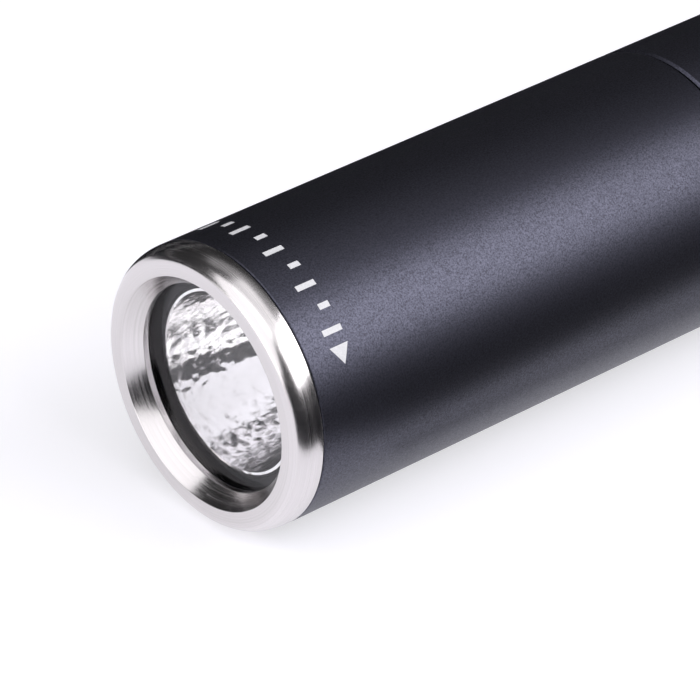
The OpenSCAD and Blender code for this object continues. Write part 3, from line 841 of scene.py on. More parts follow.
    @staticmethod
    def copied(piece: Piece, name: str) -> Piece:
        """A copy of a piece with its own mesh.

        Args:
            piece: The piece to copy.
            name: The copy's name.

        Returns:
            The copy.
        """
        twin = bpy.data.objects.new(name, piece.data.copy())
        bpy.context.scene.collection.objects.link(twin)
        return twin

    @staticmethod
    def joined(name: str, pieces: Sequence[Piece]) -> Piece:
        """Makes several pieces one.

        Args:
            name: The joined piece's name.
            pieces: The pieces.

        Returns:
            The joined piece.
        """
        Workshop.choose(pieces[0])
        for piece in pieces:
            piece.select_set(True)
        bpy.ops.object.join()
        pieces[0].name = name
        return pieces[0]

    @staticmethod
    def block(name: str, low: Sequence[float], high: Sequence[float], edge: float) -> Piece:
        """A box with rounded edges.

        Args:
            name: The new piece's name.
            low: Lowest corner: place along the axis, then Y and Z.
            high: Highest corner, in the same way.
            edge: Rounding of its edges.

        Returns:
            The closed piece.
        """
        bpy.ops.object.select_all(action="DESELECT")
        size = [(b - a) * MM for a, b in zip(low, high)]
        centre = [(a + b) / 2 for a, b in zip(low, high)]
        place = (AT.x(centre[0]), centre[1] * MM, centre[2] * MM)
        bpy.ops.mesh.primitive_cube_add(size=1, location=place, scale=size)
        piece = bpy.context.object
        piece.name = name
        bpy.ops.object.transform_apply(location=True, scale=True)
        Workshop.edit(piece, action="SELECT")
        bpy.ops.mesh.bevel(offset=edge * MM, segments=3, affect="EDGES")
        return Workshop.close(piece, 40.0)

    @staticmethod
    def cut(piece: Piece, cutter: Piece) -> Piece:
        """Cuts one piece with another, which is then gone.

        Args:
            piece: The piece that is cut.
            cutter: The piece that cuts it.

        Returns:
            The cut piece.
        """
        Workshop.modify(piece, "BOOLEAN", operation="DIFFERENCE", solver="EXACT", object=cutter)
        bpy.data.objects.remove(cutter)
        return Workshop.close(piece)


@dataclass
class Assembly:
    """A group of pieces that ride on named bodies."""

    made: list[str] = field(default_factory=list)

    def fit(self, piece: Piece, node: str, body: str, slot: str, finish: Finish) -> Piece:
        """Dresses a finished piece, hides its CAD node and hangs it on its body.

        Args:
            piece: The finished piece.
            node: The CAD node that it stands for.
            body: The body that it rides on.
            slot: The record's material slot; not used.
            finish: Its surface.

        Returns:
            The same piece.
        """
        piece.name = node + "_piece"
        piece.data.materials.clear()
        piece.data.materials.append(finish.make())
        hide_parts(node)
        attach(piece, body)
        self.made.append(node)
        LOG.info("%s on %s: %d faces", node, body, len(piece.data.polygons))
        return piece

    def lathe(
        self,
        node: str,
        body: str,
        slot: str,
        finish: Finish,
        corners: Corners,
        steps: int,
        ring: bool = False,
        smooth: float = 32.0,
    ) -> Piece:
        """Turns a piece from its corners and fits it.

        Args:
            node: The CAD node that it stands for.
            body: The body that it rides on.
            slot: The record's material slot.
            finish: Its surface.
            corners: Place and radius of each corner, and a rounding where it has one.
            steps: Facets round the axis.
            ring: Whether it is open in the middle.
            smooth: Angle up to which an edge looks round.

        Returns:
            The fitted piece.
        """
        piece = Workshop.turned(node + "_piece", Workshop.eased(corners, ring), steps, smooth)
        return self.fit(piece, node, body, slot, finish)

    def carry(self, node: str, body: str, slot: str, finish: Finish) -> Piece:
        """Fits a merged and smoothly shaded copy of a CAD node.

        Args:
            node: The CAD node.
            body: The body that it rides on.
            slot: The record's material slot.
            finish: Its surface.

        Returns:
            The fitted piece.
        """
        piece = Workshop.close(Workshop.copied(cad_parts[node], node + "_piece"))
        return self.fit(piece, node, body, slot, finish)


# ---- the head


@dataclass
class Front(Assembly):
    """Bezel, lens, gasket and reflector."""

    band: float = 0.2
    face: float = -1.48
    crown_r: float = 6.55
    ridge_r: float = 5.95
    chamfer: float = 0.88
    mouth_r: float = 5.3
    skirt_r: float = 6.05
    skirt_crest: float = 6.38
    skirt_lead: float = 0.5
    slope: Point = (0.15, 0.3)
    thread_stop: float = 0.1
    lens_r: float = 5.85
    lens_bevel: float = 0.12
    lens_play: float = 0.005
    gasket_r: float = 4.82
    gasket_play: float = 0.01
    gasket_step: float = 0.22
    gasket_lip: float = 0.4
    rim_r: float = 4.72
    rim_play: float = 0.06
    bowl_r: float = 4.56
    hole_r: float = 2.2
    wall_in: float = 0.35
    rear_step: float = 0.3
    flange_long: float = 1.4
    focal: float = 0.6
    bowl_rings: int = 90
    dimple_wide: float = 0.42
    dimple_deep: float = 0.03

    def bezel(self) -> None:
        """The turned steel ring with its threaded skirt."""
        reach = (self.face + self.band, AT.body_r - self.crown_r)
        corners = [
            (AT.skirt_rear, self.skirt_r, BROKEN),
            (self.slope[1], self.skirt_r),
            (self.slope[0], AT.neck_r),
            (0.0, AT.neck_r),
            (0.0, AT.body_r, BROKEN),
            *Workshop.arc((-self.band, self.crown_r), reach, range(90, -1, -6)),
            (self.face, self.ridge_r, 0.09),
            (self.face + self.chamfer, self.mouth_r, BROKEN),
            (AT.lens, self.mouth_r, FINE),
            (AT.lens, AT.seat_r),
            (AT.skirt_rear, AT.seat_r, BROKEN),
        ]
        shell = Workshop.turned("bezel_shell", Workshop.eased(corners), 224)
        span = (self.slope[1] + self.thread_stop, AT.skirt_rear - self.thread_stop)
        lead = self.skirt_lead
        ridge = Workshop.thread("bezel_thread", self.skirt_r, self.skirt_crest, span, Side.OUTWARD, lead)
        piece = Workshop.joined("bezel_piece", [shell, ridge])
        self.fit(piece, "bezel", "head", "steel_turned", STEEL)

    def lens(self) -> None:
        """The flat glass with its bevelled edge."""
        front, rear = AT.lens + self.lens_play, AT.lens_rear - self.lens_play
        inner = self.lens_r - self.lens_bevel
        corners = [
            (front, 0.0),
            (front, inner, 0.02),
            (AT.lens + self.lens_bevel, self.lens_r, 0.02),
            (AT.lens_rear - self.lens_bevel, self.lens_r, 0.02),
            (rear, inner, 0.02),
            (rear, 0.0),
        ]
        self.lathe("lens", "head", "glass_clear", GLASS, corners, 160, smooth=20.0)

    def gasket(self) -> None:
        """The rubber ring with its low outer step."""
        front = AT.lens_rear + self.gasket_play
        step, step_r = AT.lens_rear + self.gasket_step, self.lens_r - self.gasket_lip
        corners = [
            (front, self.gasket_r, 0.06),
            (front, step_r, 0.08),
            (step, step_r, FINE),
            (step, self.lens_r, BROKEN),
            (AT.flange, self.lens_r, 0.04),
            (AT.flange, self.gasket_r, 0.04),
        ]
        self.lathe("lens_gasket", "head", "rubber_black", GASKET, corners, 160, ring=True)

    def curve(self, radius: float) -> float:
        """How far in front of its tip the bowl's curve is at a radius."""
        return radius**2 / (4 * self.focal)

    def reflector(self) -> None:
        """The bowl, its bright rim, its flange and its slim rear."""
        rim = AT.lens_rear + self.rim_play
        tip = rim + self.curve(self.bowl_r)
        across = self.hole_r - self.bowl_r
        radii = [self.bowl_r + across * i / self.bowl_rings for i in range(self.bowl_rings + 1)]
        rear, rear_r = AT.bowl_rear + self.rear_step, self.lens_r - self.wall_in
        flange_rear = AT.flange + self.flange_long
        corners = [
            (AT.flange, self.rim_r, FINE),
            (rim, self.rim_r, 0.04),
            *[(tip - self.curve(radius), radius) for radius in radii],
            (rear, self.hole_r, BROKEN),
            (rear, rear_r, SOFT),
            (flange_rear, rear_r, BROKEN),
            (flange_rear, self.lens_r, SOFT),
            (AT.flange, self.lens_r, BROKEN),
        ]
        piece = Workshop.turned("reflector_piece", Workshop.eased(corners), 288)
        self.dimples(piece, tip)
        self.fit(piece, "reflector", "head", "reflector_silver", MIRROR)

    def dimples(self, piece: Piece, tip: float) -> None:
        """Presses shallow dimples into the bowl.

        Args:
            piece: The reflector.
            tip: Place where the bowl's curve would meet the axis.
        """
        near, edge = 0.01, 0.05
        chosen = []
        for corner in piece.data.vertices:
            along = corner.co.x / MM + AT.middle
            radius = math.hypot(corner.co.y, corner.co.z) / MM
            on_curve = abs(along - (tip - self.curve(radius))) < near
            if on_curve and self.hole_r + edge < radius < self.bowl_r - edge:
                chosen.append(corner.index)
        piece.vertex_groups.new(name="bowl").add(chosen, 1.0, "ADD")
        pattern = bpy.data.textures.new("dimples", "VORONOI")
        pattern.noise_scale = self.dimple_wide * MM
        Workshop.modify(
            piece,
            "DISPLACE",
            texture=pattern,
            texture_coords="LOCAL",
            vertex_group="bowl",
            strength=self.dimple_deep * MM,
        )

    def build(self) -> None:
        """Makes every piece of the front."""
        self.bezel()
        self.lens()
        self.gasket()
        self.reflector()


@dataclass
class Head(Assembly):
    """The head's shell with its marks, the lamp and the driver."""

    front: float = 0.06
    rear: float = 28.62
    socket: float = 19.24733
    throat_r: float = 5.4
    sink_r: float = 5.95
    mouth_r: float = 6.72
    mouth_long: float = 0.5
    relief_r: float = 6.3
    relief_long: float = 0.35267
    thread_from: float = 20.2
    thread_stop: float = 0.7
    mark_from: float = 1.45
    mark_tall: float = 1.12
    mark_short: float = 0.62
    mark_wide: float = 0.3
    arrow_wide: float = 0.95
    mark_step: float = 9.7
    mark_middle: float = 190.7
    mark_count: int = 11
    ink_sunk: float = 0.02
    ink_high: float = 0.014
    lamp_wide: float = 3.45
    lamp_high: float = 0.7
    dome_r: float = 1.35
    dome_sunk: float = 0.02
    track_out_r: float = 2.9
    track_in_r: float = 2.4
    track_deep: float = 0.03
    track_slope: float = 0.05
    chip_high: float = 1.2

    def shell(self) -> None:
        """The black barrel with its thread inside."""
        corners = [
            (self.front, AT.bore_r + 0.01, BROKEN),
            (self.front, AT.body_r, 0.09),
            (self.rear, AT.body_r, 0.2),
            (self.rear, self.mouth_r, 0.08),
            (self.rear - self.mouth_long, AT.thread_r),
            (self.socket + self.relief_long, AT.thread_r, BROKEN),
            (self.socket, self.relief_r, FINE),
            (self.socket, self.throat_r, BROKEN),
            (AT.sink_rear, self.throat_r, BROKEN),
            (AT.sink_rear, self.sink_r, FINE),
            (AT.skirt_rear + self.front, self.sink_r, BROKEN),
            (AT.skirt_rear + self.front, AT.bore_r, FINE),
        ]
        shell = Workshop.turned("head_shell_body", Workshop.eased(corners), 224)
        span = (self.thread_from, self.rear - self.thread_stop)
        ridge = Workshop.thread("head_thread", AT.thread_r, AT.bore_r, span, Side.INWARD)
        piece = Workshop.joined("head_shell_piece", [shell, ridge])
        self.fit(piece, "head_shell", "head", "aluminium_black", ANODISE)

    def mark(self, name: str, tall: float, wide: float) -> Piece:
        """A printed block, drawn at the top of the barrel.

        Args:
            name: The new piece's name.
            tall: Its length along the torch.
            wide: Its width round the torch.

        Returns:
            The closed piece.
        """
        top = self.mark_from + self.mark_tall
        low, high = AT.body_r - self.ink_sunk, AT.body_r + self.ink_high
        piece = Workshop.line(name, [(top - tall, low), (top - tall, high), (top, high), (top, low)])
        bpy.ops.mesh.edge_face_add()
        spread = wide / AT.body_r
        bpy.ops.transform.rotate(value=-spread / 2, orient_axis="X", center_override=(0, 0, 0))
        bpy.ops.mesh.spin(steps=6, angle=spread, center=(0, 0, 0), axis=(1, 0, 0))
        return Workshop.close(piece, 25.0)

    def arrow(self, name: str, outward: float) -> Piece:
        """A printed block cut down to an arrow that points along the row.

        Args:
            name: The new piece's name.
            outward: Which way it points: -1 to the row's start, 1 to its end.

        Returns:
            The closed piece.
        """
        piece = self.mark(name, self.mark_tall, self.arrow_wide)
        middle = self.mark_from + self.mark_tall / 2
        # The tip lies a little inside the block, so nothing is left of the block's end
        reach = outward * (self.arrow_wide / 2 - 0.02)
        tip = (AT.x(middle), -reach * MM, AT.body_r * MM)
        for up in (-1.0, 1.0):
            slope = (up * self.arrow_wide, -outward * self.mark_tall / 2, 0.0)
            Workshop.edit(piece, action="SELECT")
            bpy.ops.mesh.bisect(
                plane_co=tip, plane_no=slope, use_fill=True, clear_outer=True, threshold=1e-7
            )
            Workshop.close(piece, 25.0)
        return piece

    def marks(self) -> None:
        """The row of printed ticks between its two arrows."""
        last = self.mark_count - 1
        short = self.mark("short_tick", self.mark_short, self.mark_wide)
        long = self.mark("long_tick", self.mark_tall, self.mark_wide)
        ticks = [Workshop.copied(long if i % 2 else short, f"mark_{i}") for i in range(1, last)]
        row = [self.arrow("mark_0", -1.0), *ticks, self.arrow(f"mark_{last}", 1.0)]
        for model in (short, long):
            bpy.data.objects.remove(model)
        for i, piece in enumerate(row):
            # The row is counted from the floor side, and each mark is drawn at the top
            Workshop.swing(piece, -math.radians(self.mark_middle + (i - last / 2) * self.mark_step - 180))
        self.fit(Workshop.joined("index_marks_piece", row), "index_marks", "head", "print_white", INK)

    def lamp(self) -> None:
        """Centring ring, lamp, board and leads."""
        self.carry("centring_ring", "head", "plastic_white", WHITE_PLASTIC)
        half = self.lamp_wide / 2
        face = AT.lamp_board - self.lamp_high
        package = Workshop.block(
            "lamp_package_piece", (face, -half, -half), (AT.lamp_board, half, half), 0.06
        )
        self.fit(package, "lamp_package", "head", "lamp_phosphor", PHOSPHOR)
        dome = Workshop.arc((face, 0.0), (-self.dome_r, self.dome_r), range(0, 91, 6))
        # The dome is cast on the phosphor, so its base lies just under the phosphor's face
        base = face + self.dome_sunk
        piece = Workshop.turned("lamp_dome_piece", [*dome, (base, self.dome_r), (base, 0.0)], 64)
        self.fit(piece, "lamp_dome", "head", "dome_clear", SILICONE)
        self.carry("lamp_board", "head", "board_white", WHITE_BOARD)
        self.carry("lamp_leads", "head", "lead_red", LEAD)

    def driver(self) -> None:
        """Heat sink, driver board with its parts, and the ring that holds it."""
        self.carry("heat_sink", "head", "brass", BRASS)
        # The contact spring stands in a shallow round track
        track = AT.driver_rear - self.track_deep
        corners = [
            (AT.driver, 0.0),
            (AT.driver, AT.board_r, BROKEN),
            (AT.driver_rear, AT.board_r, BROKEN),
            (AT.driver_rear, self.track_out_r),
            (track, self.track_out_r - self.track_slope),
            (track, self.track_in_r + self.track_slope),
            (AT.driver_rear, self.track_in_r),
            (AT.driver_rear, 0.0),
        ]
        self.lathe("driver_board", "head", "board_green", GREEN_BOARD, corners, 128)
        half = AT.board_r / 4
        near, far = AT.board_r / 6, AT.board_r / 2
        chips = []
        for low, high in ((-far, -near), (near, far)):
            corner = (AT.driver - self.chip_high, -half, low)
            chips.append(Workshop.block("chip", corner, (AT.driver, half, high), 0.08))
        self.fit(Workshop.joined("driver_chips_piece", chips), "driver_chips", "head", "chip_black", CHIP)
        self.carry("driver_ring", "head", "brass", BRASS)

    def build(self) -> None:
        """Makes every piece of the head."""
        self.shell()
        self.marks()
        self.lamp()
        self.driver()


@dataclass
class Contact(Assembly):
    """The springs and pads that touch the cells."""

    wire: float = 0.5
    curls: float = 2.6
    front_radii: Point = (2.0, 2.0)
    tail_radii: Point = (2.5, 3.4)
    play: float = 0.05
    stem_long: float = 1.5
    stem_r: float = 1.4
    pad_r: float = 2.3
    plate_r: float = 4.1

    def front(self) -> None:
        """The front spring, and the pad that it carries."""
        span = (AT.driver_rear, AT.pad)
        spring = Workshop.wound("front_spring_piece", 12, self.wire, self.front_radii, span, self.curls)
        self.fit(spring, "front_spring", "front_contact", "spring_gold", GOLD_WIRE)
        stem, tip = AT.pad - self.stem_long, AT.nub - self.play
        corners = [
            (stem, 0.0),
            (stem, self.stem_r, 0.25),
            (AT.pad, self.stem_r, BROKEN),
            (AT.pad, self.pad_r, SOFT),
            (tip, self.pad_r, 0.25),
            (tip, 0.0),
        ]
        self.lathe("front_contact", "front_contact", "brass", BRASS, corners, 96)

    def tail(self) -> None:
        """The tail spring and the plate that it stands on."""
        span = (AT.cells_rear + self.play, AT.plate)
        spring = Workshop.wound("tail_spring_piece", 12, self.wire, self.tail_radii, span, self.curls)
        self.fit(spring, "tail_spring", "tail_contact", "spring_gold", GOLD_WIRE)
        corners = [
            (AT.plate, 0.0),
            (AT.plate, self.plate_r, 0.08),
            (AT.board, self.plate_r, 0.08),
            (AT.board, 0.0),
        ]
        self.lathe("tail_plate", "tail_contact", "brass", BRASS, corners, 96)

    def build(self) -> None:
        """Makes both contacts."""
        self.front()
        self.tail()


# ---- the tube


@dataclass
class Tube(Assembly):
    """The battery tube with its seals, cells and clip."""

    bore_r: float = 5.4
    root_r: float = 6.02
    front: float = 22.24733
    rear: float = 110.64733
    bevel: float = 0.13
    seal_in: float = 1.2
    seal_r: float = 6.125
    seal_thick: float = 0.3
    groove_r: float = 5.8
    groove_half: float = 0.35
    grip_from: float = 42.74733
    grip_pitch: float = 2.4
    grip_wide: float = 1.1
    grip_deep: float = 0.3
    grip_count: int = 9
    cell_r: float = 5.25
    cell_long: float = 44.5
    nub_high: float = 0.9
    nub_r: float = 1.9
    base_r: float = 4.2
    base_in: float = 0.3
    base_play: float = 0.05
    # A shallow dish round the cell's nub, and another in the middle of its base
    dish_deep: float = 0.12
    dish_radii: tuple[float, float, float, float] = (2.6, 2.7, 3.6, 3.8)
    base_dish: Point = (3.1, 3.3)
    end_edge: float = 0.45
    ring_r: float = 6.6
    ring_play: float = 0.06
    ring_seat: float = 0.05
    thread_stops: tuple[float, float, float] = (0.3, 0.9, 0.2)
    clip_wide: float = 5.0
    clip_thick: float = 0.8
    clip_in: float = 9.25
    clip_turn: float = 59.5375
    clip_long: float = 38.0
    post_long: float = 1.2
    post_foot: float = 6.9
    post_slope: float = 0.45

    def groove(self, middle: float) -> list[tuple[float, float, float]]:
        """The groove that a sealing ring lies in.

        Args:
            middle: Place of its middle.

        Returns:
            Its corners.
        """
        low, high = middle - self.groove_half, middle + self.groove_half
        shallow, deep = AT.neck_r, self.groove_r
        return [(low, shallow, FINE), (low, deep, 0.04), (high, deep, 0.04), (high, shallow, FINE)]

    def barrel(self) -> None:
        """The black tube with both threads, seal grooves and grip rings."""
        seal_front, seal_rear = AT.tube - self.seal_in, AT.cap + self.seal_in
        step = AT.cap - self.ring_play
        # The threads run out on a short slope beside each seal
        slope_low, slope_high = 0.7, 0.85
        corners: list[Sequence[float]] = [
            (self.front, self.bore_r, 0.06),
            (self.front, self.root_r, SOFT),
            (seal_front - slope_high, self.root_r),
            (seal_front - slope_low, AT.neck_r, FINE),
            *self.groove(seal_front),
            (AT.tube, AT.neck_r, BROKEN),
            (AT.tube, AT.body_r - self.bevel, FINE),
            (AT.tube + self.bevel, AT.body_r, FINE),
        ]
        deep = AT.body_r - self.grip_deep
        for i in range(self.grip_count):
            start = self.grip_from + i * self.grip_pitch
            end = start + self.grip_wide
            corners += [
                (start, AT.body_r, 0.06),
                (start + self.grip_deep, deep, 0.06),
                (end - self.grip_deep, deep, 0.06),
                (end, AT.body_r, 0.06),
            ]
        corners += [
            (AT.shoulder, AT.body_r, 0.08),
            (AT.shoulder, self.ring_r - self.ring_seat, FINE),
            (step, self.ring_r - self.ring_seat, FINE),
            (step, AT.neck_r, FINE),
            *self.groove(seal_rear),
            (seal_rear + slope_low, AT.neck_r, FINE),
            (seal_rear + slope_high, self.root_r),
            (self.rear, self.root_r, SOFT),
            (self.rear, self.bore_r, 0.06),
        ]
        pieces = [Workshop.turned("battery_tube_body", Workshop.eased(corners, steps=4), 192)]
        first, beside, last = self.thread_stops
        front = (self.front + first, seal_front - beside)
        rear = (seal_rear + beside, self.rear - last)
        for name, span in (("front_thread", front), ("rear_thread", rear)):
            pieces.append(Workshop.thread(name, self.root_r, AT.neck_r - 0.01, span, Side.OUTWARD))
        piece = Workshop.joined("battery_tube_piece", pieces)
        self.fit(piece, "battery_tube", "tube", "aluminium_black", ANODISE)

    def seals(self) -> None:
        """The two sealing rings."""
        reach = (self.seal_thick, self.seal_thick)
        for node, middle in (("front_seal", AT.tube - self.seal_in), ("rear_seal", AT.cap + self.seal_in)):
            ring = Workshop.arc((middle, self.seal_r), reach, range(0, 360, 20))
            piece = Workshop.turned(node + "_piece", [*ring, ring[0]], 128, 60.0)
            self.fit(piece, node, "tube", "seal_red", SEAL)

    def cells(self) -> None:
        """The two wrapped cells and their bare metal ends."""
        ends = []
        for i, node in enumerate(("front_cell", "rear_cell")):
            nub = AT.nub + i * self.cell_long
            front, rear = nub + self.nub_high, nub + self.cell_long
            inset = rear - self.base_in
            corners = [
                (front, 0.0),
                (front, self.dish_radii[0]),
                (front + self.dish_deep, self.dish_radii[1], BROKEN),
                (front + self.dish_deep, self.dish_radii[2], BROKEN),
                (front, self.dish_radii[3], BROKEN),
                (front, self.cell_r, self.end_edge),
                (rear, self.cell_r, self.end_edge),
                (rear, self.base_r, BROKEN),
                (inset, self.base_r),
                (inset, 0.0),
            ]
            # A narrow band near the nub and a wide one at the other end
            first, last = front - AT.middle, rear - AT.middle
            bands = ((first + 5.5, first + 7.0), (last - 6.5, last + 1.0))
            wrap = ShrinkWrap(node + "_film", "#12424c", 0.35, bands=bands)
            self.lathe(node, "tube", "cell_wrap", wrap, corners, 128)
            button = [(nub, 0.0), (nub, self.nub_r, 0.3), (front, self.nub_r), (front, 0.0)]
            base = [
                (inset, 0.0),
                (inset, self.base_r - self.base_play),
                (rear, self.base_r - self.base_play, 0.12),
                (rear, self.base_dish[1], SOFT),
                (rear - self.dish_deep, self.base_dish[0], SOFT),
                (rear - self.dish_deep, 0.0),
            ]
            ends.append(Workshop.turned("cell_button", Workshop.eased(button, ring=False), 64))
            ends.append(Workshop.turned("cell_base", Workshop.eased(base, ring=False), 96))
        piece = Workshop.joined("cell_terminals_piece", ends)
        self.fit(piece, "cell_terminals", "tube", "steel_nickel", NICKEL)

    def strip(self, name: str, side: Sequence[Point], edge: float) -> Piece:
        """A strip of the clip's width from its side outline, turned to where the clip stands.

        Args:
            name: The new piece's name.
            side: Place and height of each corner, seen from the side.
            edge: Rounding of its edges.

        Returns:
            The closed piece.
        """
        piece = Workshop.line(name, side)
        bpy.ops.mesh.edge_face_add()
        bpy.ops.transform.translate(value=(0, -self.clip_wide / 2 * MM, 0))
        bpy.ops.mesh.extrude_region_move(TRANSFORM_OT_translate={"value": (0, self.clip_wide * MM, 0)})
        bpy.ops.mesh.select_all(action="SELECT")
        bpy.ops.mesh.normals_make_consistent(inside=False)
        bpy.ops.object.mode_set(mode="OBJECT")
        if edge > 0:
            self.soften(piece, edge)
        self.stand(piece)
        return piece

    def stand(self, piece: Piece) -> None:
        """Turns what is drawn at the top to the clip's place, which is counted from the floor side."""
        Workshop.swing(piece, math.radians(180 - self.clip_turn))

    def soften(self, piece: Piece, edge: float) -> None:
        """Rounds a strip's sharp edges."""
        Workshop.modify(piece, "BEVEL", width=edge * MM, segments=3, angle_limit=math.radians(50))

    def clip(self) -> None:
        """The clip's ring with its upright bend, and its springy arm."""
        front, rear = AT.shoulder + self.ring_play, AT.cap - self.ring_play
        ring = [
            (front, self.ring_r, BROKEN),
            (front, AT.body_r, 0.12),
            (rear, AT.body_r, 0.12),
            (rear, self.ring_r, BROKEN),
        ]
        body = Workshop.turned("clip_ring_body", Workshop.eased(ring), 160)
        bend, out = AT.clip_bend, self.clip_in + self.clip_thick
        back = bend + self.post_long
        upright = [
            (bend, self.post_foot),
            (bend, out),
            (back - self.post_slope, out),
            (back, out - self.post_slope),
            (back, self.post_foot),
        ]
        post = Workshop.close(self.strip("clip_post", upright, 0.12), 35.0)
        piece = Workshop.joined("clip_ring_piece", [body, post])
        self.fit(piece, "clip_ring", "tube", "clip_steel", BLACK_STEEL)
        self.fit(self.arm(bend, out), "clip_arm", "clip", "clip_steel", BLACK_STEEL)

    def arm(self, bend: float, out: float) -> Piece:
        """The springy arm, with a round end and a flared tip.

        Args:
            bend: Place where the arm starts.
            out: Height of its outer face.

        Returns:
            The closed piece.
        """
        tip = bend - self.clip_long
        # The arm dips to the barrel over its last 8 mm, and its last third flares out again
        dip = 8.0
        low, flare = AT.body_r + 0.12, 1.2
        mid, top = tip + dip / 3, tip + dip
        side = [
            (bend, self.clip_in),
            (bend, out),
            (top, out, 6.0),
            (mid, low + self.clip_thick, 3.0),
            (tip, low + self.clip_thick + flare),
            (tip, low + flare),
            (mid, low, 2.4),
            (top, self.clip_in + 0.05, 4.0),
            (top + 2.5, self.clip_in, 6.0),
        ]
        piece = self.strip("clip_arm_piece", Workshop.eased(side)[:-1], 0.0)
        cutter = self.end_cutter(tip, out)
        Workshop.close(piece)
        Workshop.cut(piece, cutter)
        self.soften(piece, 0.14)
        return Workshop.close(piece, 35.0)

    def end_cutter(self, tip: float, out: float) -> Piece:
        """A block with a round hollow, which leaves the arm's end round as its plan shows.

        Args:
            tip: Place of the arm's tip.
            out: Height of the arm's outer face.

        Returns:
            The cutter, standing where the clip stands.
        """
        half = self.clip_wide / 2
        high = (out + 1) * MM
        bpy.ops.object.select_all(action="DESELECT")
        size = (4 * half * MM, 3 * half * MM, 12 * MM)
        bpy.ops.mesh.primitive_cube_add(size=1, location=(AT.x(tip + half - 2), 0, high), scale=size)
        block = bpy.context.object
        bpy.ops.object.transform_apply(location=True, scale=True)
        bpy.ops.object.select_all(action="DESELECT")
        place = (AT.x(tip + half), 0, high)
        bpy.ops.mesh.primitive_cylinder_add(vertices=96, radius=half * MM, depth=14 * MM, location=place)
        hollow = bpy.context.object
        bpy.ops.object.transform_apply(location=True)
        Workshop.cut(block, hollow)
        Workshop.edit(block, action="SELECT")
        plane = (AT.x(tip + half), 0, 0)
        bpy.ops.mesh.bisect(plane_co=plane, plane_no=(1, 0, 0), use_fill=True, clear_outer=True)
        bpy.ops.object.mode_set(mode="OBJECT")
        self.stand(block)
        return Workshop.close(block)

    def build(self) -> None:
        """Makes every piece of the tube."""
        self.barrel()
        self.seals()
        self.cells()
        self.clip()


# ---- the tail


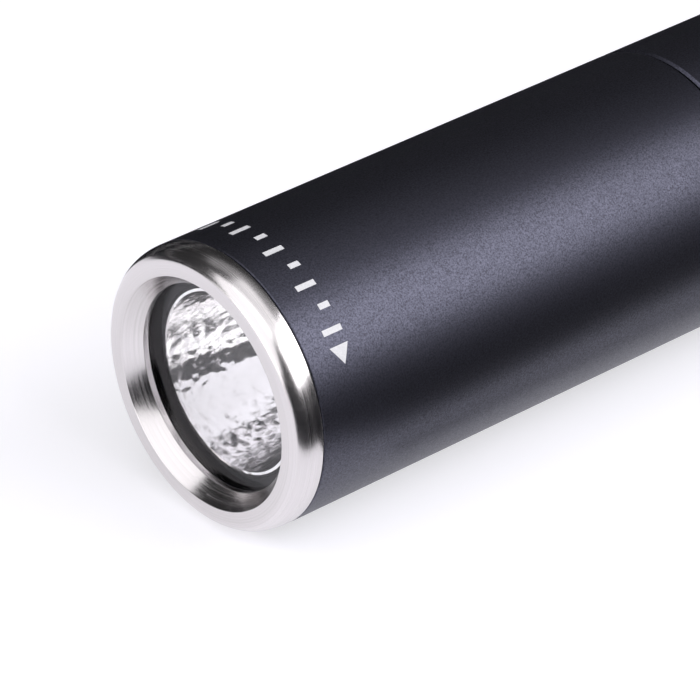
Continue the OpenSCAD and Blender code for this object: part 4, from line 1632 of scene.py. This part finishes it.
@dataclass
class Tail(Assembly):
    """The tail cap, its switch and its button."""

    thread_rear: float = 111.24733
    board_rear: float = 115.74733
    seal_front: float = 124.24733
    wall: float = 124.54733
    wall_rear: float = 126.04733
    button_rear: float = 127.24733
    edge_r: float = 0.9
    bevel: float = 0.45
    mouth_r: float = 6.5
    mouth_long: float = 1.6
    mouth_slope: float = 0.2
    relief_long: float = 0.3
    thread_stop: float = 0.4
    hole_r: float = 4.27
    flange_r: float = 5.05
    flutes: int = 16
    flute_wide: float = 1.5
    flute_deep: float = 0.35
    flute_long: float = 13.0
    flute_from: float = 3.0
    foot_r: float = 2.2
    foot_thick: float = 0.7
    stem_r: float = 1.6
    housing_wall: float = 0.9
    housing_play: float = 0.06
    wire: float = 0.34
    spring_r: float = 1.95
    curls: float = 1.6
    press: float = 1.2
    button_r: float = 4.2
    groove_deep: float = 0.16
    groove_wide: float = 0.3
    groove_slope: float = 0.1
    groove_radii: tuple[float, ...] = (3.2, 2.4, 1.6, 0.8)
    ridge_wide: float = 0.3

    def cap(self) -> None:
        """The black cap with its finger flutes and inner thread."""
        centre = (AT.cap_rear - self.edge_r, AT.body_r - self.edge_r)
        thread_front = AT.cap + self.mouth_long + self.mouth_slope
        corners = [
            (AT.cap, self.mouth_r, BROKEN),
            (AT.cap, AT.body_r - self.bevel, FINE),
            (AT.cap + self.bevel, AT.body_r, BROKEN),
            *Workshop.arc(centre, (self.edge_r, self.edge_r), range(90, -1, -9)),
            (AT.cap_rear, AT.board_r, 0.2),
            (self.wall_rear, AT.board_r, SOFT),
            (self.wall_rear, self.hole_r, BROKEN),
            (self.wall, self.hole_r, BROKEN),
            (self.wall, AT.board_r, BROKEN),
            (self.board_rear, AT.board_r, BROKEN),
            (self.board_rear, AT.seat_r, FINE),
            (self.thread_rear, AT.seat_r, BROKEN),
            (self.thread_rear - self.relief_long, AT.thread_r),
            (thread_front, AT.thread_r),
            (thread_front - self.mouth_slope, AT.bore_r, FINE),
        ]
        body = Workshop.turned("tail_cap_body", Workshop.eased(corners), 192)
        body = Workshop.cut(body, self.flute_bars())
        span = (thread_front, self.thread_rear - self.thread_stop)
        ridge = Workshop.thread("cap_thread", AT.thread_r, AT.bore_r, span, Side.INWARD)
        piece = Workshop.joined("tail_cap_piece", [body, ridge])
        self.fit(piece, "tail_cap", "tail_cap", "aluminium_black", ANODISE)

    def flute_bars(self) -> Piece:
        """Round bars with round ends, one for each flute, to cut the cap with.

        Returns:
            The bars as one piece.
        """
        half = self.flute_wide / 2
        bar_r = (half**2 + self.flute_deep**2) / (2 * self.flute_deep)
        start = AT.cap + self.flute_from
        first, last = start + half, start + self.flute_long - half
        outline = [
            *Workshop.arc((first, 0.0), (-bar_r, bar_r), range(0, 91, 10)),
            *Workshop.arc((last, 0.0), (bar_r, bar_r), range(90, -1, -10)),
        ]
        bar = Workshop.turned("flute_0", outline, 40)
        Workshop.edit(bar, action="SELECT")
        bpy.ops.transform.translate(value=(0, 0, (AT.body_r - self.flute_deep + bar_r) * MM))
        bpy.ops.object.mode_set(mode="OBJECT")
        bars = [bar, *[Workshop.copied(bar, f"flute_{i}") for i in range(1, self.flutes)]]
        for i, piece in enumerate(bars):
            Workshop.swing(piece, 2 * math.pi * i / self.flutes)
        return Workshop.joined("flute_bars", bars)

    def switch(self) -> None:
        """The retaining ring, board, housing, spring and plunger."""
        self.carry("switch_ring", "tail_cap", "brass", BRASS)
        self.carry("switch_board", "tail_cap", "board_green", GREEN_BOARD)
        self.carry("switch_housing", "tail_cap", "plastic_black", BLACK_PLASTIC)
        foot = AT.housing_rear - self.housing_wall - self.housing_play - self.foot_thick
        foot_rear = foot + self.foot_thick
        span = (self.board_rear + self.housing_wall, foot)
        radii = (self.spring_r, self.spring_r)
        spring = Workshop.wound("switch_spring_piece", 10, self.wire, radii, span, self.curls, 32)
        self.fit(spring, "switch_spring", "tail_cap", "spring_gold", GOLD_WIRE)
        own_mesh(spring)
        corners = [
            (foot, 0.0),
            (foot, self.foot_r, SOFT),
            (foot_rear, self.foot_r, SOFT),
            (foot_rear, self.stem_r, BROKEN),
            (AT.flange_front, self.stem_r, 0.2),
            (AT.flange_front, 0.0),
        ]
        self.lathe("switch_plunger", "button", "plastic_white", WHITE_PLASTIC, corners, 64)

    def button(self) -> None:
        """The rubber button with its raised rings, and the seal under its flange."""
        seal = [
            (self.seal_front, self.hole_r, BROKEN),
            (self.seal_front, self.flange_r, 0.08),
            (self.wall, self.flange_r, 0.08),
            (self.wall, self.hole_r, BROKEN),
        ]
        self.lathe("button_seal", "tail_cap", "seal_red", SEAL, seal, 96, ring=True)
        rear = self.button_rear
        corners: list[Sequence[float]] = [
            (AT.flange_front, 0.0),
            (AT.flange_front, self.flange_r, SOFT),
            (self.seal_front, self.flange_r, SOFT),
            (self.seal_front, self.button_r, BROKEN),
            (rear, self.button_r, 0.5),
            (rear, self.groove_radii[0] + self.groove_slope, BROKEN),
        ]
        valley = rear - self.groove_deep
        for radius in self.groove_radii:
            inner = radius - self.groove_wide
            ridge = inner - self.groove_slope
            corners += [
                (valley, radius, 0.06),
                (valley, inner, 0.06),
                (rear, ridge, 0.06),
                (rear, ridge - self.ridge_wide, 0.06),
            ]
        corners.append((rear, 0.0))
        self.lathe("tail_button", "button", "button_rubber", BUTTON, corners, 128)

    def build(self) -> None:
        """Makes every piece of the tail."""
        self.cap()
        self.switch()
        self.button()


# ---- the studio


@dataclass(frozen=True)
class Softbox:
    """One large soft lamp, aimed at the head. Its spans are in degrees, and a level of 1 is white."""

    name: str
    azimuth: float
    height: float
    across: float
    up: float
    level: float
    # In metres
    away: float = 1.8
    colour: tuple[float, float, float] = (0.985, 0.975, 1.0)

    def place(self) -> None:
        """Hangs the lamp out of the camera's sight."""
        turn, rise = math.radians(self.azimuth), math.radians(self.height)
        flat = math.cos(rise)
        toward = Vector((math.sin(turn) * flat, -math.cos(turn) * flat, math.sin(rise)))
        light = bpy.data.lights.new(self.name, "AREA")
        light.shape = "RECTANGLE"
        light.size = 2 * self.away * math.tan(math.radians(self.across / 2))
        light.size_y = 2 * self.away * math.tan(math.radians(self.up / 2))
        light.energy = self.level * math.pi * light.size * light.size_y
        light.color = self.colour
        lamp = bpy.data.objects.new(self.name, light)
        bpy.context.scene.collection.objects.link(lamp)
        lamp.location = toward * self.away
        lamp.rotation_euler = toward.to_track_quat("Z", "Y").to_euler()
        lamp.visible_camera = False


@dataclass(frozen=True)
class Studio:
    """Pale floor, soft lamps and the photograph's camera. Lengths are in metres, but the cards' in mm."""

    floor_z: float = -0.00725
    floor_size: float = 7.0
    wall_high: float = 1.0
    room_colour: tuple[float, float, float, float] = (0.97, 0.96, 1.0, 1.0)
    room_level: float = 0.025
    skirt_r: float = 1.2
    skirt_high: float = 0.34
    # The skirt is open between these azimuths, in degrees
    skirt_gap: Point = (-125.0, -62.0)
    # Left, right, near and far edge of each card on the table, and the angle by which its left edge fans out
    flat_cards: tuple[tuple[float, float, float, float, float], ...] = (
        (-27.0, 500.0, -19.0, -900.0, 48.0),
        # This narrow strip under the barrel is painted shadow: a black card, seen only in reflections, that
        # stands in for the contact shadow which the table's lift does not keep
        (-7.0, 500.0, -7.6, -8.6, 0.0),
        (-7.0, 500.0, -11.9, -60.0, 0.0),
        (-5.0, 500.0, 16.0, 600.0, 0.0),
    )
    # Azimuth, height, width and rise in degrees, and level
    softboxes: tuple[Softbox, ...] = (
        Softbox("key_softbox", 27.5, 35.5, 62.0, 37.0, 3.8),
        Softbox("left_softbox", -82.0, 42.0, 68.0, 70.0, 1.5),
        Softbox("top_softbox", -5.0, 79.0, 40.0, 53.0, 1.0),
        Softbox("rear_softbox", 100.0, 70.0, 78.0, 25.0, 0.28),
    )
    # The camera's place, its tilt below the level, its turn and its focal length on a 36 mm frame
    camera_place: tuple[float, float, float] = (-0.139357, -0.152731, 0.122799)
    camera_tilt: float = 31.503
    camera_turn: float = -41.035
    camera_lens: float = 252.57

    def round_wall(self, name: str, radius: float, high: float, sides: int) -> Piece:
        """Stands an open round wall on the floor.

        Args:
            name: The wall's name.
            radius: Its radius.
            high: Its height.
            sides: Facets round it.

        Returns:
            The wall.
        """
        bpy.ops.object.select_all(action="DESELECT")
        place = (0, 0, self.floor_z + high / 2)
        bpy.ops.mesh.primitive_cylinder_add(
            vertices=sides, radius=radius, depth=high, end_fill_type="NOTHING", location=place
        )
        wall = bpy.context.object
        wall.name = name
        bpy.ops.object.transform_apply(location=True)
        return wall

    def backdrop(self) -> None:
        """A pale table that keeps the shadow, and a pale wall round it."""
        bpy.ops.object.select_all(action="DESELECT")
        bpy.ops.mesh.primitive_plane_add(size=self.floor_size, location=(0, 0, self.floor_z))
        table = bpy.context.object
        table.name = "table"
        table.data.materials.append(TABLE.make())
        wall = self.round_wall("wall", self.floor_size / 2, self.wall_high, 96)
        wall.data.materials.append(WALL.make())

    def room(self) -> None:
        """A plain dim room above the wall."""
        world = bpy.data.worlds.new("studio_room")
        bpy.context.scene.world = world
        world.use_nodes = True
        shade = world.node_tree.nodes["Background"]
        feed(world.node_tree, shade, {"Color": self.room_colour, "Strength": self.room_level})

    def card(self, piece: Piece) -> None:
        """Makes a piece a black card that only shows in reflections, as a photographer's flags do; the
        narrow strip under the barrel is painted shadow.

        Args:
            piece: The piece.
        """
        piece.data.materials.append(CARD.make())
        piece.visible_camera = piece.visible_diffuse = piece.visible_shadow = False

    def flat_card(self, left: float, right: float, near: float, far: float, fan: float) -> None:
        """Lays a black card on the table beside the torch.

        Args:
            left: X of its left edge, where it is nearest.
            right: X of its right edge.
            near: Y of the edge beside the torch.
            far: Y of the opposite edge.
            fan: Angle by which the left edge turns out.
        """
        across, along = (left + right) / 2 * MM, (near + far) / 2 * MM
        long = abs(far - near) * MM
        bpy.ops.object.select_all(action="DESELECT")
        # The card's own thickness keeps it clear of the table
        bpy.ops.mesh.primitive_plane_add(size=1, location=(across, along, self.floor_z + 0.0002))
        card = bpy.context.object
        card.name = "flat_card"
        card.scale = ((right - left) * MM, long, 1)
        bpy.ops.object.transform_apply(location=True, scale=True)
        Workshop.edit(card)
        bpy.ops.object.mode_set(mode="OBJECT")
        for corner in card.data.vertices:
            corner.select = corner.co.x < across and (corner.co.y - along) * (far - near) > 0
        bpy.ops.object.mode_set(mode="EDIT")
        bpy.ops.transform.translate(value=(-long * math.tan(math.radians(fan)), 0, 0))
        bpy.ops.object.mode_set(mode="OBJECT")
        self.card(card)

    def flags(self) -> None:
        """A low dark skirt with a gap to the left, and the cards that lie beside the torch, of which the
        narrow strip under the barrel is painted shadow.
        """
        skirt = self.round_wall("skirt_card", self.skirt_r, self.skirt_high, 72)
        Workshop.edit(skirt, "FACE")
        bpy.ops.object.mode_set(mode="OBJECT")
        low, high = self.skirt_gap
        for face in skirt.data.polygons:
            face.select = low < math.degrees(math.atan2(face.center.x, -face.center.y)) < high
        bpy.ops.object.mode_set(mode="EDIT")
        bpy.ops.mesh.delete(type="FACE")
        bpy.ops.object.mode_set(mode="OBJECT")
        self.card(skirt)
        for edges in self.flat_cards:
            self.flat_card(*edges)

    def lamps(self) -> None:
        """The soft lamps, placed where the barrel and bezel show them."""
        for softbox in self.softboxes:
            softbox.place()

    def camera(self) -> None:
        """The photograph's viewpoint, found from the barrel's edges and the bezel's seam."""
        data = bpy.data.cameras.new("camera")
        data.lens = self.camera_lens
        data.sensor_width = 36.0
        data.clip_start, data.clip_end = 0.01, 50.0
        camera = bpy.data.objects.new("camera", data)
        bpy.context.scene.collection.objects.link(camera)
        camera.location = self.camera_place
        turns = (90 - self.camera_tilt, 0.0, self.camera_turn)
        camera.rotation_euler = [math.radians(turn) for turn in turns]
        bpy.context.scene.camera = camera

    def build(self) -> None:
        """Sets up the whole studio."""
        bpy.context.scene.view_settings.view_transform = "Standard"
        self.backdrop()
        self.room()
        self.flags()
        self.lamps()
        self.camera()


def main() -> None:
    """Builds the torch and its studio."""
    logging.basicConfig(level=logging.INFO, format="%(message)s")
    steps: list[Callable[[], None]] = [
        Studio().build,
        Front().build,
        Head().build,
        Contact().build,
        Tube().build,
        Tail().build,
    ]
    for step in steps:
        step()
    bpy.ops.object.select_all(action="DESELECT")


if __name__ == "__main__":
    main()
